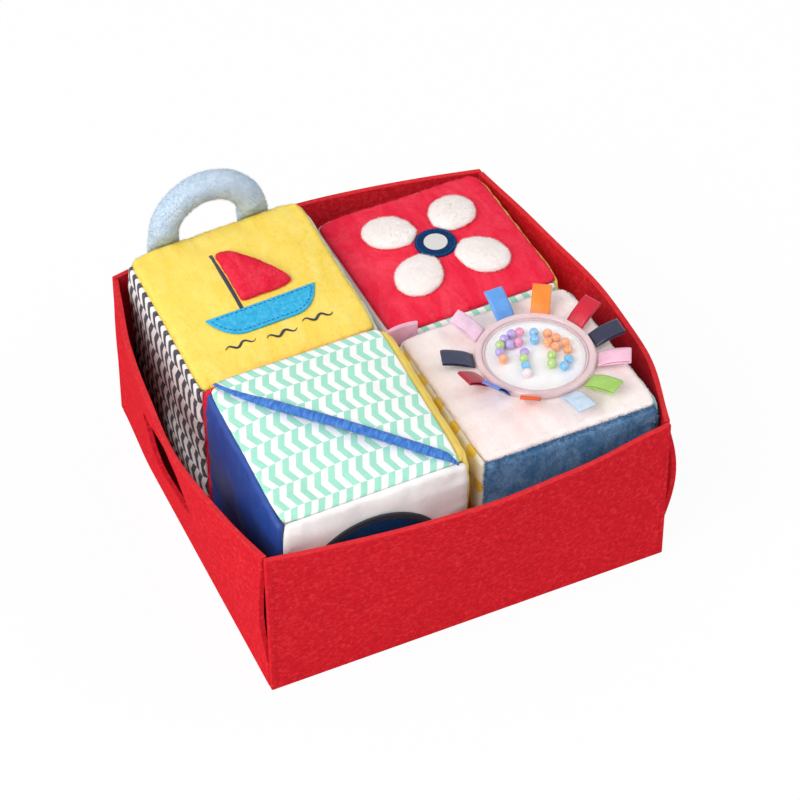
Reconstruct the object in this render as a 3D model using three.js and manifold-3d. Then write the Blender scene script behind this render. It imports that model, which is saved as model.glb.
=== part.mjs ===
// Soft activity blocks in a felt tray: four padded fabric cubes, two by two, in an open tray of thick felt.
// Millimetres, +Z up. The origin is on the underside of the tray, at the centre of the tray's outer box.
import * as THREE from "three";
import { mergeVertices } from "three/addons/utils/BufferGeometryUtils.js";
import Module from "manifold-3d";

// Gap kept between pieces that touch
const CLEARANCE = 0.3;

// Padded blocks, measured from seam to seam. Their filling stands to different heights.
const BLOCK_SIZE = 102;
const BOAT_BLOCK_EXTRA_DEPTH = 4;
const BOAT_BLOCK_RISE = 5.3;
const FLOWER_BLOCK_SINK = 6;
const POCKET_BLOCK_RISE = 8.3;
const RATTLE_BLOCK_SINK = 1.8;
const COVER = 1.5;
const COVER_GAP = 0.4;
const TOP_CROWN = 4;
const FLAT_TOP_CROWN = 2.5;
const SIDE_CROWN = 2;
const SEAM_DRAW = 1;
const CORNER_PULL = 3;
const CORNER_SHARPNESS = 6;
const COVER_STEPS = 6;
const CORE_STEPS = COVER_STEPS / 2;
const BOAT_BLOCK_YAW = 0.5;
const FLOWER_BLOCK_YAW = 0.5;
const POCKET_BLOCK_YAW = -0.6;
const RATTLE_BLOCK_YAW = 0.8;

// How far a block's top rises at its right edge and at its back edge. It falls as far at the opposite edges.
const BOAT_BLOCK_LEAN = [3, 4.4];
const FLOWER_BLOCK_LEAN = [1.3, 0.3];
const POCKET_BLOCK_LEAN = [2, 2.4];
const RATTLE_BLOCK_LEAN = [0, 0];

// Felt tray: thick sheets whose walls lean out towards the top, furthest in the middle of each wall. Their
// top edges stand a little below the blocks' top seams.
const FELT = 3;
const WALL_DROP = 9.9;
const LOOSE_WIDTH = 12;
const LOOSE_DEPTH = 12;
const LEFT_BOW = 15;
const RIGHT_BOW = 15;
const FRONT_BOW = 12;
const BACK_BOW = 14.8;
const SIDE_BOW_FORWARD_SHARE = 0.2;
const WALL_COLUMNS = 16;
const SIDE_WALL_ROWS = 7;
const END_WALL_ROWS = 2;

// The side walls' ends gape between their top and bottom stitches
const CORNER_GAPE = 6;
const GAPE_REACH = 16;
const GAPE_LOW = 25;
const GAPE_DROP = 12.4;

// Hand slots in the side walls
const SLOT_LENGTH = 72;
const SLOT_HEIGHT = 14;
const SLOT_LEVEL = 55;
const SLOT_SET_BACK = 8;
const SLOT_END_STEPS = 6;
const CUT_OVERRUN = 30;

// How each row and column shares its loose space, less the room that the sides' crowns take between the two
// blocks: before the first block, as more room between the two, and behind the second block
const BACK_ROW_SHARES = [0.97, 0.008, 0.022];
const FRONT_ROW_SHARES = [0.956, 0.022, 0.022];
const LEFT_COLUMN_SHARES = [0.642, 0.03, 0.328];
const RIGHT_COLUMN_SHARES = [0.646, 0.061, 0.293];

// Felt and plush pieces laid on a block
const APPLIQUE = 1;
const PATCH_RINGS = 2;
const CURVE_STEPS = 6;

// Boat on the yellow block: a felt hull and a padded sail that lifts at its mast edge
const HULL_LENGTH = 62;
const HULL_DEPTH = 17;
const HULL_DROP = 21;
const SAIL_WIDTH = 31;
const SAIL_HEIGHT = 37;
const SAIL_LIFT = 9;
const SAIL_PAD = 4;
const MAST_SET_LEFT = 9;

// Stuffed ring handle on the yellow block's back top seam. It leans back a little at its top.
const HANDLE_RADIUS = 25.6;
const HANDLE_TUBE = 7.5;
const HANDLE_FLAT_SHARE = 0.36;
const HANDLE_SEAM_EDGE = 0.4;
const HANDLE_SPREAD_SHARE = 0.8;
const HANDLE_RISE = 1;
const HANDLE_SET_LEFT = 2.2;
const HANDLE_LEAN_BACK = 3;
const HANDLE_INSET = 0.8;
const HANDLE_STEPS = 26;
const HANDLE_SIDES = 10;

// Flower on the red block: a felt centre and padded petals that lift at their roots
const PETALS = 4;
const FLOWER_CENTRE_RADIUS = 11.5;
const FLOWER_CENTRE_SIDES = 16;
const PETAL_LENGTH = 29;
const PETAL_WIDTH = 26;
const PETAL_PAD = 4;
const PETAL_ROOT_SHARE = 0.42;

// Pocket on the mint block: a triangle of cloth over the top, bound with a roll along its open edge
const POCKET_CLOTH = 1.2;
const POCKET_INSET = 4;
const POCKET_STEPS = 6;
const BINDING_RADIUS = 2;
const BINDING_STEPS = 14;
const BINDING_SIDES = 8;
const DISC_RADIUS = 39;
const DISC_DROP = 0.6;
const DISC_SET_LEFT = 3;
const DISC_SIDES = 28;

// Ribbon loops: the twelve round the rattle and the tag in the yellow block's corner seam
const RIBBON_THICKNESS = 1.2;
const RIBBON_WIDTH = 10;
const RIBBON_LENGTH = 17;
const RIBBON_CURL = 0.8;
const RIBBON_STEPS = 4;
const RIBBON_LEVEL = 1;
const TAG_WIDTH = 14;
const TAG_LENGTH = 19.5;
const TAG_RISE = 1.2;
const TAG_ARCH = 1;

// Rattle on the pale pink block
const RATTLE_SET_RIGHT = 6.2;
const RATTLE_SET_BACK = 2.7;
const CASE_RADIUS = 30.75;
const CASE_FLOOR = 1.5;
const BEZEL_WIDTH = 5.2;
const BEZEL_HEIGHT = 3.6;
const DOME_HEIGHT = 9.5;
const DOME_WALL = 1.2;
const DOME_SKIRT = 0.8;
const RATTLE_SIDES = 30;
const DOME_STEPS = 5;
const BEAD_RADIUS = 2.5;
const BEAD_SET_IN = 4.1;
const BEAD_NECK = 0.8;
const BEAD_STEPS = 4;
const BEAD_SIDES = 6;

const DEGREE = Math.PI / 180;

// Each ribbon's bearing from +X and its rise at rest, in degrees, and its colour
const RIBBONS = [
  { bearing: 126, rise: 25, colour: 0xc9a2dc },
  { bearing: 91, rise: 30, colour: 0x5fc0ee },
  { bearing: 58, rise: 25, colour: 0xf47a1e },
  { bearing: 23, rise: 25, colour: 0xd8233a },
  { bearing: -4, rise: 17, colour: 0x1e2a55 },
  { bearing: -30, rise: 14, colour: 0xf3aec6 },
  { bearing: -60, rise: 14, colour: 0x8ccb3f },
  { bearing: -86, rise: 14, colour: 0xcfe6f4 },
  { bearing: -122, rise: 45, colour: 0xee5a2a },
  { bearing: -150, rise: 50, colour: 0x6a79d8 },
  { bearing: -170, rise: 35, colour: 0xb3122f },
  { bearing: 161, rise: 14, colour: 0x23264f },
];

// Sizes that follow from the ones above
const CROWN_ROOM = 2 * SIDE_CROWN + CLEARANCE;
const WALL_HEIGHT = FELT + CLEARANCE + BLOCK_SIZE - WALL_DROP;
const GAPE_HIGH = WALL_HEIGHT - GAPE_DROP;
const TRAY_INNER_WIDTH = 2 * BLOCK_SIZE + LOOSE_WIDTH;
const TRAY_INNER_DEPTH = 2 * BLOCK_SIZE + LOOSE_DEPTH;
const TRAY_WIDTH = TRAY_INNER_WIDTH + 2 * FELT;
const TRAY_DEPTH = TRAY_INNER_DEPTH + 2 * FELT;
const DOME_RADIUS = CASE_RADIUS - BEZEL_WIDTH - CLEARANCE;
const BEAD_RING_RADIUS = DOME_RADIUS - DOME_WALL - BEAD_SET_IN - BEAD_RADIUS;
const BEADS = Math.floor((Math.PI * BEAD_RING_RADIUS) / BEAD_RADIUS);

// The faces of a block: the way each looks out, and the ways its own two axes run
const FACES = {
  top: { out: [0, 0, 1], right: [1, 0, 0], up: [0, 1, 0] },
  bottom: { out: [0, 0, -1], right: [1, 0, 0], up: [0, -1, 0] },
  right: { out: [1, 0, 0], right: [0, 1, 0], up: [0, 0, 1] },
  left: { out: [-1, 0, 0], right: [0, -1, 0], up: [0, 0, 1] },
  back: { out: [0, 1, 0], right: [-1, 0, 0], up: [0, 0, 1] },
  front: { out: [0, -1, 0], right: [1, 0, 0], up: [0, 0, 1] },
};

const manifold = await Module();
manifold.setup();

// Finishes

function cloth(color, roughness = 0.95) {
  return new THREE.MeshStandardMaterial({ color, roughness, metalness: 0 });
}

function satin(color) {
  return cloth(color, 0.45);
}

function clearPlastic(color, opacity) {
  return new THREE.MeshStandardMaterial({
    color,
    opacity,
    roughness: 0.12,
    metalness: 0,
    transparent: true,
  });
}

// Closed bodies from points and faces

function body(points, faces) {
  const geometry = new THREE.BufferGeometry();
  geometry.setFromPoints(points);
  geometry.setIndex(faces.flat());
  geometry.computeVertexNormals();
  return geometry;
}

function quad(a, b, c, d) {
  return [
    [a, b, c],
    [a, c, d],
  ];
}

// A sheet between two grids. place(u, v, side) gives a point, with u and v from -1 to 1. Side 0 is the skin
// that looks out and side 1 the skin behind it.
function sheet(columns, rows, place) {
  const points = [];
  for (let side = 0; side < 2; side++)
    for (let j = 0; j <= rows; j++)
      for (let i = 0; i <= columns; i++)
        points.push(place((2 * i) / columns - 1, (2 * j) / rows - 1, side));
  const at = (i, j, side) => (side * (rows + 1) + j) * (columns + 1) + i;
  const faces = [];
  for (let j = 0; j < rows; j++)
    for (let i = 0; i < columns; i++)
      faces.push(
        ...quad(at(i, j, 0), at(i + 1, j, 0), at(i + 1, j + 1, 0), at(i, j + 1, 0)),
        ...quad(at(i, j, 1), at(i, j + 1, 1), at(i + 1, j + 1, 1), at(i + 1, j, 1)),
      );
  for (let i = 0; i < columns; i++)
    faces.push(
      ...quad(at(i + 1, 0, 0), at(i, 0, 0), at(i, 0, 1), at(i + 1, 0, 1)),
      ...quad(at(i, rows, 0), at(i + 1, rows, 0), at(i + 1, rows, 1), at(i, rows, 1)),
    );
  for (let j = 0; j < rows; j++)
    faces.push(
      ...quad(at(0, j, 0), at(0, j + 1, 0), at(0, j + 1, 1), at(0, j, 1)),
      ...quad(at(columns, j + 1, 0), at(columns, j, 0), at(columns, j, 1), at(columns, j + 1, 1)),
    );
  return body(points, faces);
}

// A skin over rings of points, each ring turning right-handed about the way the rings run. The ends close on
// a point each, or the last ring joins the first where there are no end points.
function loft(rings, ends) {
  const sides = rings[0].length;
  const points = rings.flat();
  const at = (ring, k) => (ring % rings.length) * sides + (k % sides);
  const faces = [];
  const spans = ends ? rings.length - 1 : rings.length;
  for (let ring = 0; ring < spans; ring++)
    for (let k = 0; k < sides; k++)
      faces.push(...quad(at(ring, k), at(ring, k + 1), at(ring + 1, k + 1), at(ring + 1, k)));
  if (ends) {
    const last = rings.length - 1;
    const first = points.push(...ends) - 2;
    for (let k = 0; k < sides; k++)
      faces.push([first, at(0, k + 1), at(0, k)], [first + 1, at(last, k), at(last, k + 1)]);
  }
  return body(points, faces);
}

function middle(points) {
  const sum = points.reduce((total, point) => total.add(point), new THREE.Vector3());
  return sum.divideScalar(points.length);
}

function loftBetweenCaps(rings) {
  return loft(rings, [middle(rings[0]), middle(rings.at(-1))]);
}

// Cuts

function solidOf(geometry) {
  const bare = geometry.index ? geometry.toNonIndexed() : geometry.clone();
  bare.deleteAttribute("normal");
  bare.deleteAttribute("uv");
  const merged = mergeVertices(bare);
  return new manifold.Manifold(
    new manifold.Mesh({
      numProp: 3,
      vertProperties: merged.attributes.position.array,
      triVerts: new Uint32Array(merged.index.array),
    }),
  );
}

function cut(geometry, cutter) {
  const mesh = solidOf(geometry).subtract(solidOf(cutter)).getMesh();
  const result = new THREE.BufferGeometry();
  result.setAttribute("position", new THREE.BufferAttribute(mesh.vertProperties, 3));
  result.setIndex(new THREE.BufferAttribute(mesh.triVerts, 1));
  result.computeVertexNormals();
  return result;
}

// The padded block's skin

// How far the block's lean lifts a point of the unit cube's surface: not at all at the foot, all of it at the top
function leanLift(block, unit) {
  return ((unit[0] * block.lean[0] + unit[1] * block.lean[1]) * (1 + unit[2])) / 2;
}

// Where a point of the unit cube's surface lies on a block, inset by some millimetres from the outside of the
// cover. Every face is crowned, every seam is drawn in between its corners, and the corners are pulled in.
function onBlock(block, unit, inset = 0) {
  const half = [block.width / 2, block.depth / 2, block.height / 2];
  const crowns = [SIDE_CROWN, SIDE_CROWN, unit[2] > 0 ? block.crown : 0];
  const corner = CORNER_PULL * Math.abs(unit[0] * unit[1] * unit[2]) ** CORNER_SHARPNESS;
  const place = unit.map((along, axis) => {
    const p = unit[(axis + 1) % 3];
    const q = unit[(axis + 2) % 3];
    const crown = crowns[axis] * (1 - p * p) * (1 - q * q);
    const draw = SEAM_DRAW * (p ** 4 * (1 - q * q) + q ** 4 * (1 - p * p));
    return along * (half[axis] - inset + crown - draw - corner);
  });
  place[2] += leanLift(block, unit);
  return new THREE.Vector3(...place);
}

function unitPoint(face, u, v) {
  const { out, right, up } = FACES[face];
  return out.map((value, axis) => value + u * right[axis] + v * up[axis]);
}

// A point a to the right and b up from the middle of a block's face, lifted off the crowned cover
function onFace(block, face, a, b, lift) {
  const [out, right, up] = ["out", "right", "up"].map((way) => new THREE.Vector3(...FACES[face][way]));
  const size = new THREE.Vector3(block.width, block.depth, block.height);
  const u = (2 * a) / Math.abs(size.dot(right));
  const v = (2 * b) / Math.abs(size.dot(up));
  const height = onBlock(block, unitPoint(face, u, v)).dot(out);
  return out
    .multiplyScalar(height + lift)
    .addScaledVector(right, a)
    .addScaledVector(up, b);
}

function coverPanel(block, face) {
  const reach = 1 - COVER_GAP / (Math.SQRT2 * (BLOCK_SIZE / 2));
  return sheet(COVER_STEPS, COVER_STEPS, (u, v, side) =>
    onBlock(block, unitPoint(face, u * reach, v * reach), side * COVER),
  );
}

function foamCore(block) {
  const geometry = new THREE.BoxGeometry(2, 2, 2, CORE_STEPS, CORE_STEPS, CORE_STEPS);
  const place = geometry.getAttribute("position");
  for (let i = 0; i < place.count; i++) {
    const unit = [place.getX(i), place.getY(i), place.getZ(i)];
    place.setXYZ(i, ...onBlock(block, unit, COVER + CLEARANCE));
  }
  geometry.computeVertexNormals();
  return geometry;
}

// A piece cut to an outline, given counterclockwise round its own middle, and laid on a block's face. A pad
// swells its outside into a cushion.
function laidPiece(block, face, middleX, middleY, outline, thickness, pad = 0) {
  const ring = (share, lift) =>
    outline.map((point) =>
      onFace(block, face, middleX + point.x * share, middleY + point.y * share, lift),
    );
  const swell = (share) => CLEARANCE + thickness + pad * Math.sqrt(1 - share * share);
  const rings = [];
  for (let i = 1; i <= PATCH_RINGS; i++) rings.push(ring(i / PATCH_RINGS, CLEARANCE));
  for (let i = PATCH_RINGS; i >= 1; i--)
    rings.push(ring(i / PATCH_RINGS, swell(i / PATCH_RINGS)));
  return loft(rings, [
    onFace(block, face, middleX, middleY, CLEARANCE),
    onFace(block, face, middleX, middleY, swell(0)),
  ]);
}

// Moves a laid piece so that its pivot is its origin, and returns it in a group that stands at the pivot
function hinged(mesh, pivot, turn = 0) {
  mesh.geometry.translate(-pivot.x, -pivot.y, -pivot.z);
  mesh.geometry.rotateZ(-turn);
  const group = new THREE.Group();
  group.position.copy(pivot);
  group.rotation.z = turn;
  group.add(mesh);
  return group;
}

// Outlines

function circleOutline(radius, sides) {
  return Array.from({ length: sides }, (_, k) => {
    const turn = (2 * Math.PI * k) / sides;
    return new THREE.Vector2(radius * Math.cos(turn), radius * Math.sin(turn));
  });
}

// A boat's hull: a level deck with raised ends over a round bottom
function hullOutline() {
  const [half, deep] = [HULL_LENGTH / 2, HULL_DEPTH / 2];
  const hull = new THREE.Shape();
  hull.moveTo(-half, deep);
  hull.quadraticCurveTo(-0.8 * half, -deep, -0.4 * half, -deep);
  hull.lineTo(0, -deep);
  hull.lineTo(0.4 * half, -deep);
  hull.quadraticCurveTo(0.8 * half, -deep, half, deep);
  hull.quadraticCurveTo(0, 0.6 * deep, -half, deep);
  return hull.getPoints(CURVE_STEPS).slice(0, -1);
}

// A sail with a straight mast edge on its left, measured from the middle of that edge
function sailOutline() {
  const [wide, half] = [SAIL_WIDTH, SAIL_HEIGHT / 2];
  const sail = new THREE.Shape();
  sail.moveTo(0, 0.9 * half);
  sail.lineTo(0, 0);
  sail.lineTo(0, -0.9 * half);
  sail.quadraticCurveTo(0, -half, 0.1 * wide, -half);
  sail.lineTo(0.5 * wide, -half);
  sail.quadraticCurveTo(1.1 * wide, -half, 0.9 * wide, -0.6 * half);
  sail.quadraticCurveTo(0.6 * wide, 0.3 * half, 0.2 * wide, half);
  sail.quadraticCurveTo(0, 1.1 * half, 0, 0.9 * half);
  return sail.getPoints(CURVE_STEPS - 2).slice(0, -1);
}

// A petal that runs out along +X from its narrow root, measured from the root
function petalOutline() {
  const [long, half] = [PETAL_LENGTH, PETAL_WIDTH / 2];
  const root = PETAL_ROOT_SHARE * half;
  const petal = new THREE.Shape();
  petal.moveTo(0, -root);
  petal.bezierCurveTo(0.3 * long, -1.1 * half, 0.6 * long, -1.2 * half, 0.9 * long, -0.6 * half);
  petal.quadraticCurveTo(1.1 * long, 0, 0.9 * long, 0.6 * half);
  petal.bezierCurveTo(0.6 * long, 1.2 * half, 0.3 * long, 1.1 * half, 0, root);
  return petal.getPoints(CURVE_STEPS);
}

// The outline moved so that its own middle is the origin, with that middle
function centred(outline) {
  const box = new THREE.Box2().setFromPoints(outline);
  const middlePoint = box.getCenter(new THREE.Vector2());
  return [middlePoint, outline.map((point) => point.clone().sub(middlePoint))];
}

// Felt tray

// How far an end wall's or a side wall's outside stands out from its foot. A shift moves the widest place
// along the wall, and leaves the wall's two ends where they are.
function wallLean({ bow, shift, reach }, along, z) {
  const share = along / reach;
  const shifted = share + shift * (1 - share * share);
  return bow * Math.cos((Math.PI / 2) * shifted) * (z / WALL_HEIGHT);
}

function wallGape(along, end, z) {
  if (z <= GAPE_LOW || z >= GAPE_HIGH) return 0;
  const near = Math.max(0, 1 - (end - Math.abs(along)) / GAPE_REACH);
  return CORNER_GAPE * near * near * Math.sin((Math.PI * (z - GAPE_LOW)) / (GAPE_HIGH - GAPE_LOW));
}

// A wall that runs along X and looks out along -Y. Its columns are closest at its ends.
function wall({ end, foot, rows, gapes, ...lean }) {
  return sheet(WALL_COLUMNS, rows, (u, v, side) => {
    const along = end * Math.sin((Math.PI / 2) * u);
    const z = (WALL_HEIGHT * (v + 1)) / 2;
    const out = foot + wallLean(lean, along, z) + (gapes ? wallGape(along, end, z) : 0);
    return new THREE.Vector3(along, -(out - side * FELT), z);
  });
}

function slotCutter(middleX, foot, bow) {
  const [half, round] = [SLOT_LENGTH / 2 - SLOT_HEIGHT / 2, SLOT_HEIGHT / 2];
  const slot = new THREE.Shape();
  slot.absarc(half, 0, round, -Math.PI / 2, Math.PI / 2);
  slot.absarc(-half, 0, round, Math.PI / 2, (3 * Math.PI) / 2);
  const depth = FELT + bow + 2 * CUT_OVERRUN;
  const cutter = new THREE.ExtrudeGeometry(slot, {
    depth,
    bevelEnabled: false,
    curveSegments: SLOT_END_STEPS,
  });
  cutter.rotateX(Math.PI / 2);
  return cutter.translate(middleX, -foot + FELT + CUT_OVERRUN, SLOT_LEVEL);
}

function tray() {
  const felt = cloth(0xcf1f2c);
  const group = new THREE.Group();
  const add = (name, geometry, quarterTurns = 0) => {
    const mesh = named(name, geometry, felt);
    mesh.rotation.z = (quarterTurns * Math.PI) / 2;
    group.add(mesh);
  };
  const base = new THREE.BoxGeometry(
    TRAY_INNER_WIDTH - 2 * CLEARANCE,
    TRAY_INNER_DEPTH - 2 * CLEARANCE,
    FELT,
  );
  add("tray_base", base.translate(0, 0, FELT / 2));
  const endWall = {
    end: TRAY_WIDTH / 2,
    reach: TRAY_WIDTH / 2,
    foot: TRAY_DEPTH / 2,
    shift: 0,
    rows: END_WALL_ROWS,
  };
  add("tray_front_wall", wall({ ...endWall, bow: FRONT_BOW }));
  add("tray_back_wall", wall({ ...endWall, bow: BACK_BOW }), 2);
  const sideWall = {
    end: TRAY_INNER_DEPTH / 2 - CLEARANCE,
    reach: TRAY_DEPTH / 2,
    foot: TRAY_WIDTH / 2,
    rows: SIDE_WALL_ROWS,
    gapes: true,
  };
  // backwards is 1 where the wall's own +X runs to the tray's back, and -1 where it runs to the front
  const slotted = (bow, backwards) =>
    cut(
      wall({ ...sideWall, bow, shift: backwards * SIDE_BOW_FORWARD_SHARE }),
      slotCutter(backwards * SLOT_SET_BACK, sideWall.foot, bow),
    );
  add("tray_right_wall", slotted(RIGHT_BOW, 1), 1);
  add("tray_left_wall", slotted(LEFT_BOW, -1), 3);
  return group;
}

function named(name, geometry, material) {
  const mesh = new THREE.Mesh(geometry, material);
  mesh.name = name;
  return mesh;
}

// A padded block: a foam core in a cover sewn from six panels, standing on the tray's base
function paddedBlock({ name, size, crown, lean, place, yaw, colours }) {
  const block = { width: size[0], depth: size[1], height: size[2], crown, lean };
  const group = new THREE.Group();
  group.name = name;
  group.position.set(...place, FELT + CLEARANCE + block.height / 2);
  group.rotation.z = yaw * DEGREE;
  group.add(named(name + "_foam_core", foamCore(block), cloth(0xf2ecd8)));
  for (const face of Object.keys(FACES))
    group.add(named(name + "_" + face + "_panel", coverPanel(block, face), cloth(colours[face])));
  return { block, group };
}

// Where the two blocks of a row or column stand: the loose space is shared out before, between and behind
function twoPlaces(inner, shares, firstSize, secondSize) {
  const loose = inner - firstSize - secondSize - CROWN_ROOM;
  const first = -inner / 2 + loose * shares[0] + firstSize / 2;
  const second = inner / 2 - loose * shares[2] - secondSize / 2;
  return [first, second];
}

// Yellow block with the boat, the ring handle and the ribbon tag

function ringHandle(block) {
  const plane = block.depth / 2 - HANDLE_INSET;
  const seamSlope = block.lean[0] / (block.width / 2);
  const middleX = -HANDLE_SET_LEFT;
  const seat = onFace(block, "top", middleX, plane - HANDLE_FLAT_SHARE * HANDLE_TUBE, CLEARANCE).z;
  const centre = new THREE.Vector3(middleX, plane, seat + HANDLE_RISE);
  const below = Math.asin(HANDLE_RISE / HANDLE_RADIUS);
  const rings = [];
  for (let i = 0; i <= HANDLE_STEPS; i++) {
    const turn = -below + ((Math.PI + 2 * below) * i) / HANDLE_STEPS;
    const past = Math.max(0, -turn, turn - Math.PI);
    const level = turn < Math.PI / 2 ? 0 : Math.PI;
    const tilt = past > 0 ? level + (turn - level) * (1 - past / below) : turn;
    const height = centre.z + HANDLE_RADIUS * Math.sin(turn);
    const pressed = HANDLE_TUBE * (1 - (1 - HANDLE_FLAT_SHARE) * (past / below) ** 2);
    const half = Math.min(pressed, HANDLE_SEAM_EDGE + HANDLE_SPREAD_SHARE * (height - seat));
    const backwards = HANDLE_LEAN_BACK * Math.max(0, Math.sin(turn));
    rings.push(
      Array.from({ length: HANDLE_SIDES }, (_, k) => {
        const round = (2 * Math.PI * k) / HANDLE_SIDES;
        const outward = HANDLE_TUBE * Math.cos(round);
        const aside = HANDLE_RADIUS * Math.cos(turn) + outward * Math.cos(tilt);
        return new THREE.Vector3(
          centre.x + aside,
          centre.y + backwards + half * Math.sin(round),
          height + outward * Math.sin(tilt) + seamSlope * aside,
        );
      }),
    );
  }
  const mesh = named("plush_ring_handle", loftBetweenCaps(rings), cloth(0xbcd6e8));
  return hinged(mesh, new THREE.Vector3(centre.x, centre.y, seat));
}

function sailFlap(block) {
  const [middlePoint, outline] = centred(sailOutline());
  const mastFoot = new THREE.Vector2(-MAST_SET_LEFT, SAIL_LIFT);
  const at = middlePoint.clone().add(mastFoot);
  const sail = laidPiece(block, "top", at.x, at.y, outline, APPLIQUE, SAIL_PAD);
  const pivot = onFace(block, "top", mastFoot.x, mastFoot.y, CLEARANCE);
  return hinged(named("sail_flap", sail, cloth(0xe0344a)), pivot);
}

// The tag stands out sideways from the front right corner's seam, under the top corner, and runs in the gap
// between the other blocks
function sideTag(block) {
  const root = new THREE.Vector3(
    block.width / 2 - SEAM_DRAW + 2 * CLEARANCE,
    -block.depth / 2 + CLEARANCE,
    onBlock(block, [1, -1, 1]).z - CLEARANCE,
  );
  const tag = sheet(RIBBON_STEPS, 1, (u, v, side) => {
    const along = (u + 1) / 2;
    const lift = TAG_RISE * along + 4 * TAG_ARCH * along * (1 - along);
    return new THREE.Vector3(
      TAG_LENGTH * along,
      (side - 0.5) * RIBBON_THICKNESS,
      (TAG_WIDTH * (v - 1)) / 2 + lift,
    );
  });
  const group = new THREE.Group();
  group.position.copy(root);
  group.add(named("side_ribbon_tag", tag, satin(0xf6b9cd)));
  return group;
}

function boatBlock(place) {
  const made = paddedBlock({
    name: "boat_block",
    size: [BLOCK_SIZE, BLOCK_SIZE + BOAT_BLOCK_EXTRA_DEPTH, BLOCK_SIZE + BOAT_BLOCK_RISE],
    crown: TOP_CROWN,
    lean: BOAT_BLOCK_LEAN,
    place,
    yaw: BOAT_BLOCK_YAW,
    colours: {
      top: 0xfbe577,
      bottom: 0xf2ead0,
      left: 0x4a4e63,
      right: 0xdfe9d8,
      front: 0xe23348,
      back: 0xcfe6d6,
    },
  });
  const hull = laidPiece(made.block, "top", 0, -HULL_DROP, hullOutline(), APPLIQUE);
  made.group.add(named("boat_hull_applique", hull, cloth(0x4fbfe6)));
  made.group.add(sailFlap(made.block), ringHandle(made.block), sideTag(made.block));
  return made.group;
}

// Red block with the flower

function flowerBlock(place) {
  const made = paddedBlock({
    name: "flower_block",
    size: [BLOCK_SIZE, BLOCK_SIZE, BLOCK_SIZE - FLOWER_BLOCK_SINK],
    crown: TOP_CROWN,
    lean: FLOWER_BLOCK_LEAN,
    place,
    yaw: FLOWER_BLOCK_YAW,
    colours: {
      top: 0xee3048,
      bottom: 0xf2ead0,
      left: 0xf6e3e4,
      right: 0xfbdc6e,
      front: 0xa9dccb,
      back: 0xcfe6d6,
    },
  });
  const disc = circleOutline(FLOWER_CENTRE_RADIUS, FLOWER_CENTRE_SIDES);
  const centre = laidPiece(made.block, "top", 0, 0, disc, APPLIQUE);
  made.group.add(named("flower_centre_disc", centre, cloth(0x1e3a63)));
  const root = FLOWER_CENTRE_RADIUS + APPLIQUE + CLEARANCE;
  const [middlePoint, outline] = centred(petalOutline());
  for (let i = 0; i < PETALS; i++) {
    const turn = (2 * Math.PI * (i + 0.5)) / PETALS;
    const spin = (point) => point.clone().rotateAround(new THREE.Vector2(), turn);
    const at = spin(middlePoint.clone().add(new THREE.Vector2(root, 0)));
    const petal = laidPiece(made.block, "top", at.x, at.y, outline.map(spin), APPLIQUE, PETAL_PAD);
    const foot = spin(new THREE.Vector2(root, 0));
    const pivot = onFace(made.block, "top", foot.x, foot.y, CLEARANCE);
    made.group.add(hinged(named("flower_petal_" + (i + 1), petal, cloth(0xfbeae8)), pivot, turn));
  }
  return made.group;
}

// Mint block with the pocket and the navy disc

// A triangle of cloth over the top's back half, behind the diagonal from back left to front right
function pocketFlap(block) {
  const reach = block.width / 2 - POCKET_INSET;
  const corners = [
    [-reach, reach],
    [reach, -reach],
    [reach, reach],
  ];
  const points = [];
  const rows = [];
  for (let side = 0; side < 2; side++)
    for (let i = 0; i <= POCKET_STEPS; i++) {
      rows.push([]);
      for (let j = 0; j <= POCKET_STEPS - i; j++) {
        const shares = [POCKET_STEPS - i - j, j, i].map((part) => part / POCKET_STEPS);
        const mix = (axis) => shares.reduce((sum, share, k) => sum + share * corners[k][axis], 0);
        const [a, b] = [mix(0), mix(1)];
        rows.at(-1).push(points.length);
        points.push(onFace(block, "top", a, b, CLEARANCE + (side ? 0 : POCKET_CLOTH)));
      }
    }
  const [outside, inside] = [rows.slice(0, POCKET_STEPS + 1), rows.slice(POCKET_STEPS + 1)];
  const faces = [];
  const both = (i, j, k, l, m, n) => {
    faces.push([outside[i][j], outside[k][l], outside[m][n]]);
    faces.push([inside[i][j], inside[m][n], inside[k][l]]);
  };
  for (let i = 0; i < POCKET_STEPS; i++)
    for (let j = 0; j < POCKET_STEPS - i; j++) {
      both(i, j, i, j + 1, i + 1, j);
      if (j < POCKET_STEPS - i - 1) both(i, j + 1, i + 1, j + 1, i + 1, j);
    }
  const edge = (i, j, k, l) => {
    faces.push(...quad(outside[k][l], outside[i][j], inside[i][j], inside[k][l]));
  };
  for (let k = 0; k < POCKET_STEPS; k++) {
    edge(0, k, 0, k + 1);
    edge(k, POCKET_STEPS - k, k + 1, POCKET_STEPS - k - 1);
    edge(k + 1, 0, k, 0);
  }
  return body(points, faces);
}

// The rolled binding lies along the flap's open edge, on its front left side
function pocketBinding(block) {
  const aside = (BINDING_RADIUS + 2 * CLEARANCE) / Math.SQRT2;
  const reach = block.width / 2 - POCKET_INSET - BINDING_RADIUS;
  const sideways = new THREE.Vector3(Math.SQRT1_2, Math.SQRT1_2, 0);
  const upwards = new THREE.Vector3(0, 0, 1);
  const rings = [];
  for (let i = 0; i <= BINDING_STEPS; i++) {
    const along = reach * ((2 * i) / BINDING_STEPS - 1);
    const axis = onFace(block, "top", along - aside, -along - aside, CLEARANCE + BINDING_RADIUS);
    rings.push(
      Array.from({ length: BINDING_SIDES }, (_, k) => {
        const round = (2 * Math.PI * k) / BINDING_SIDES;
        return axis
          .clone()
          .addScaledVector(sideways, BINDING_RADIUS * Math.cos(round))
          .addScaledVector(upwards, BINDING_RADIUS * Math.sin(round));
      }),
    );
  }
  return loftBetweenCaps(rings);
}

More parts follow.
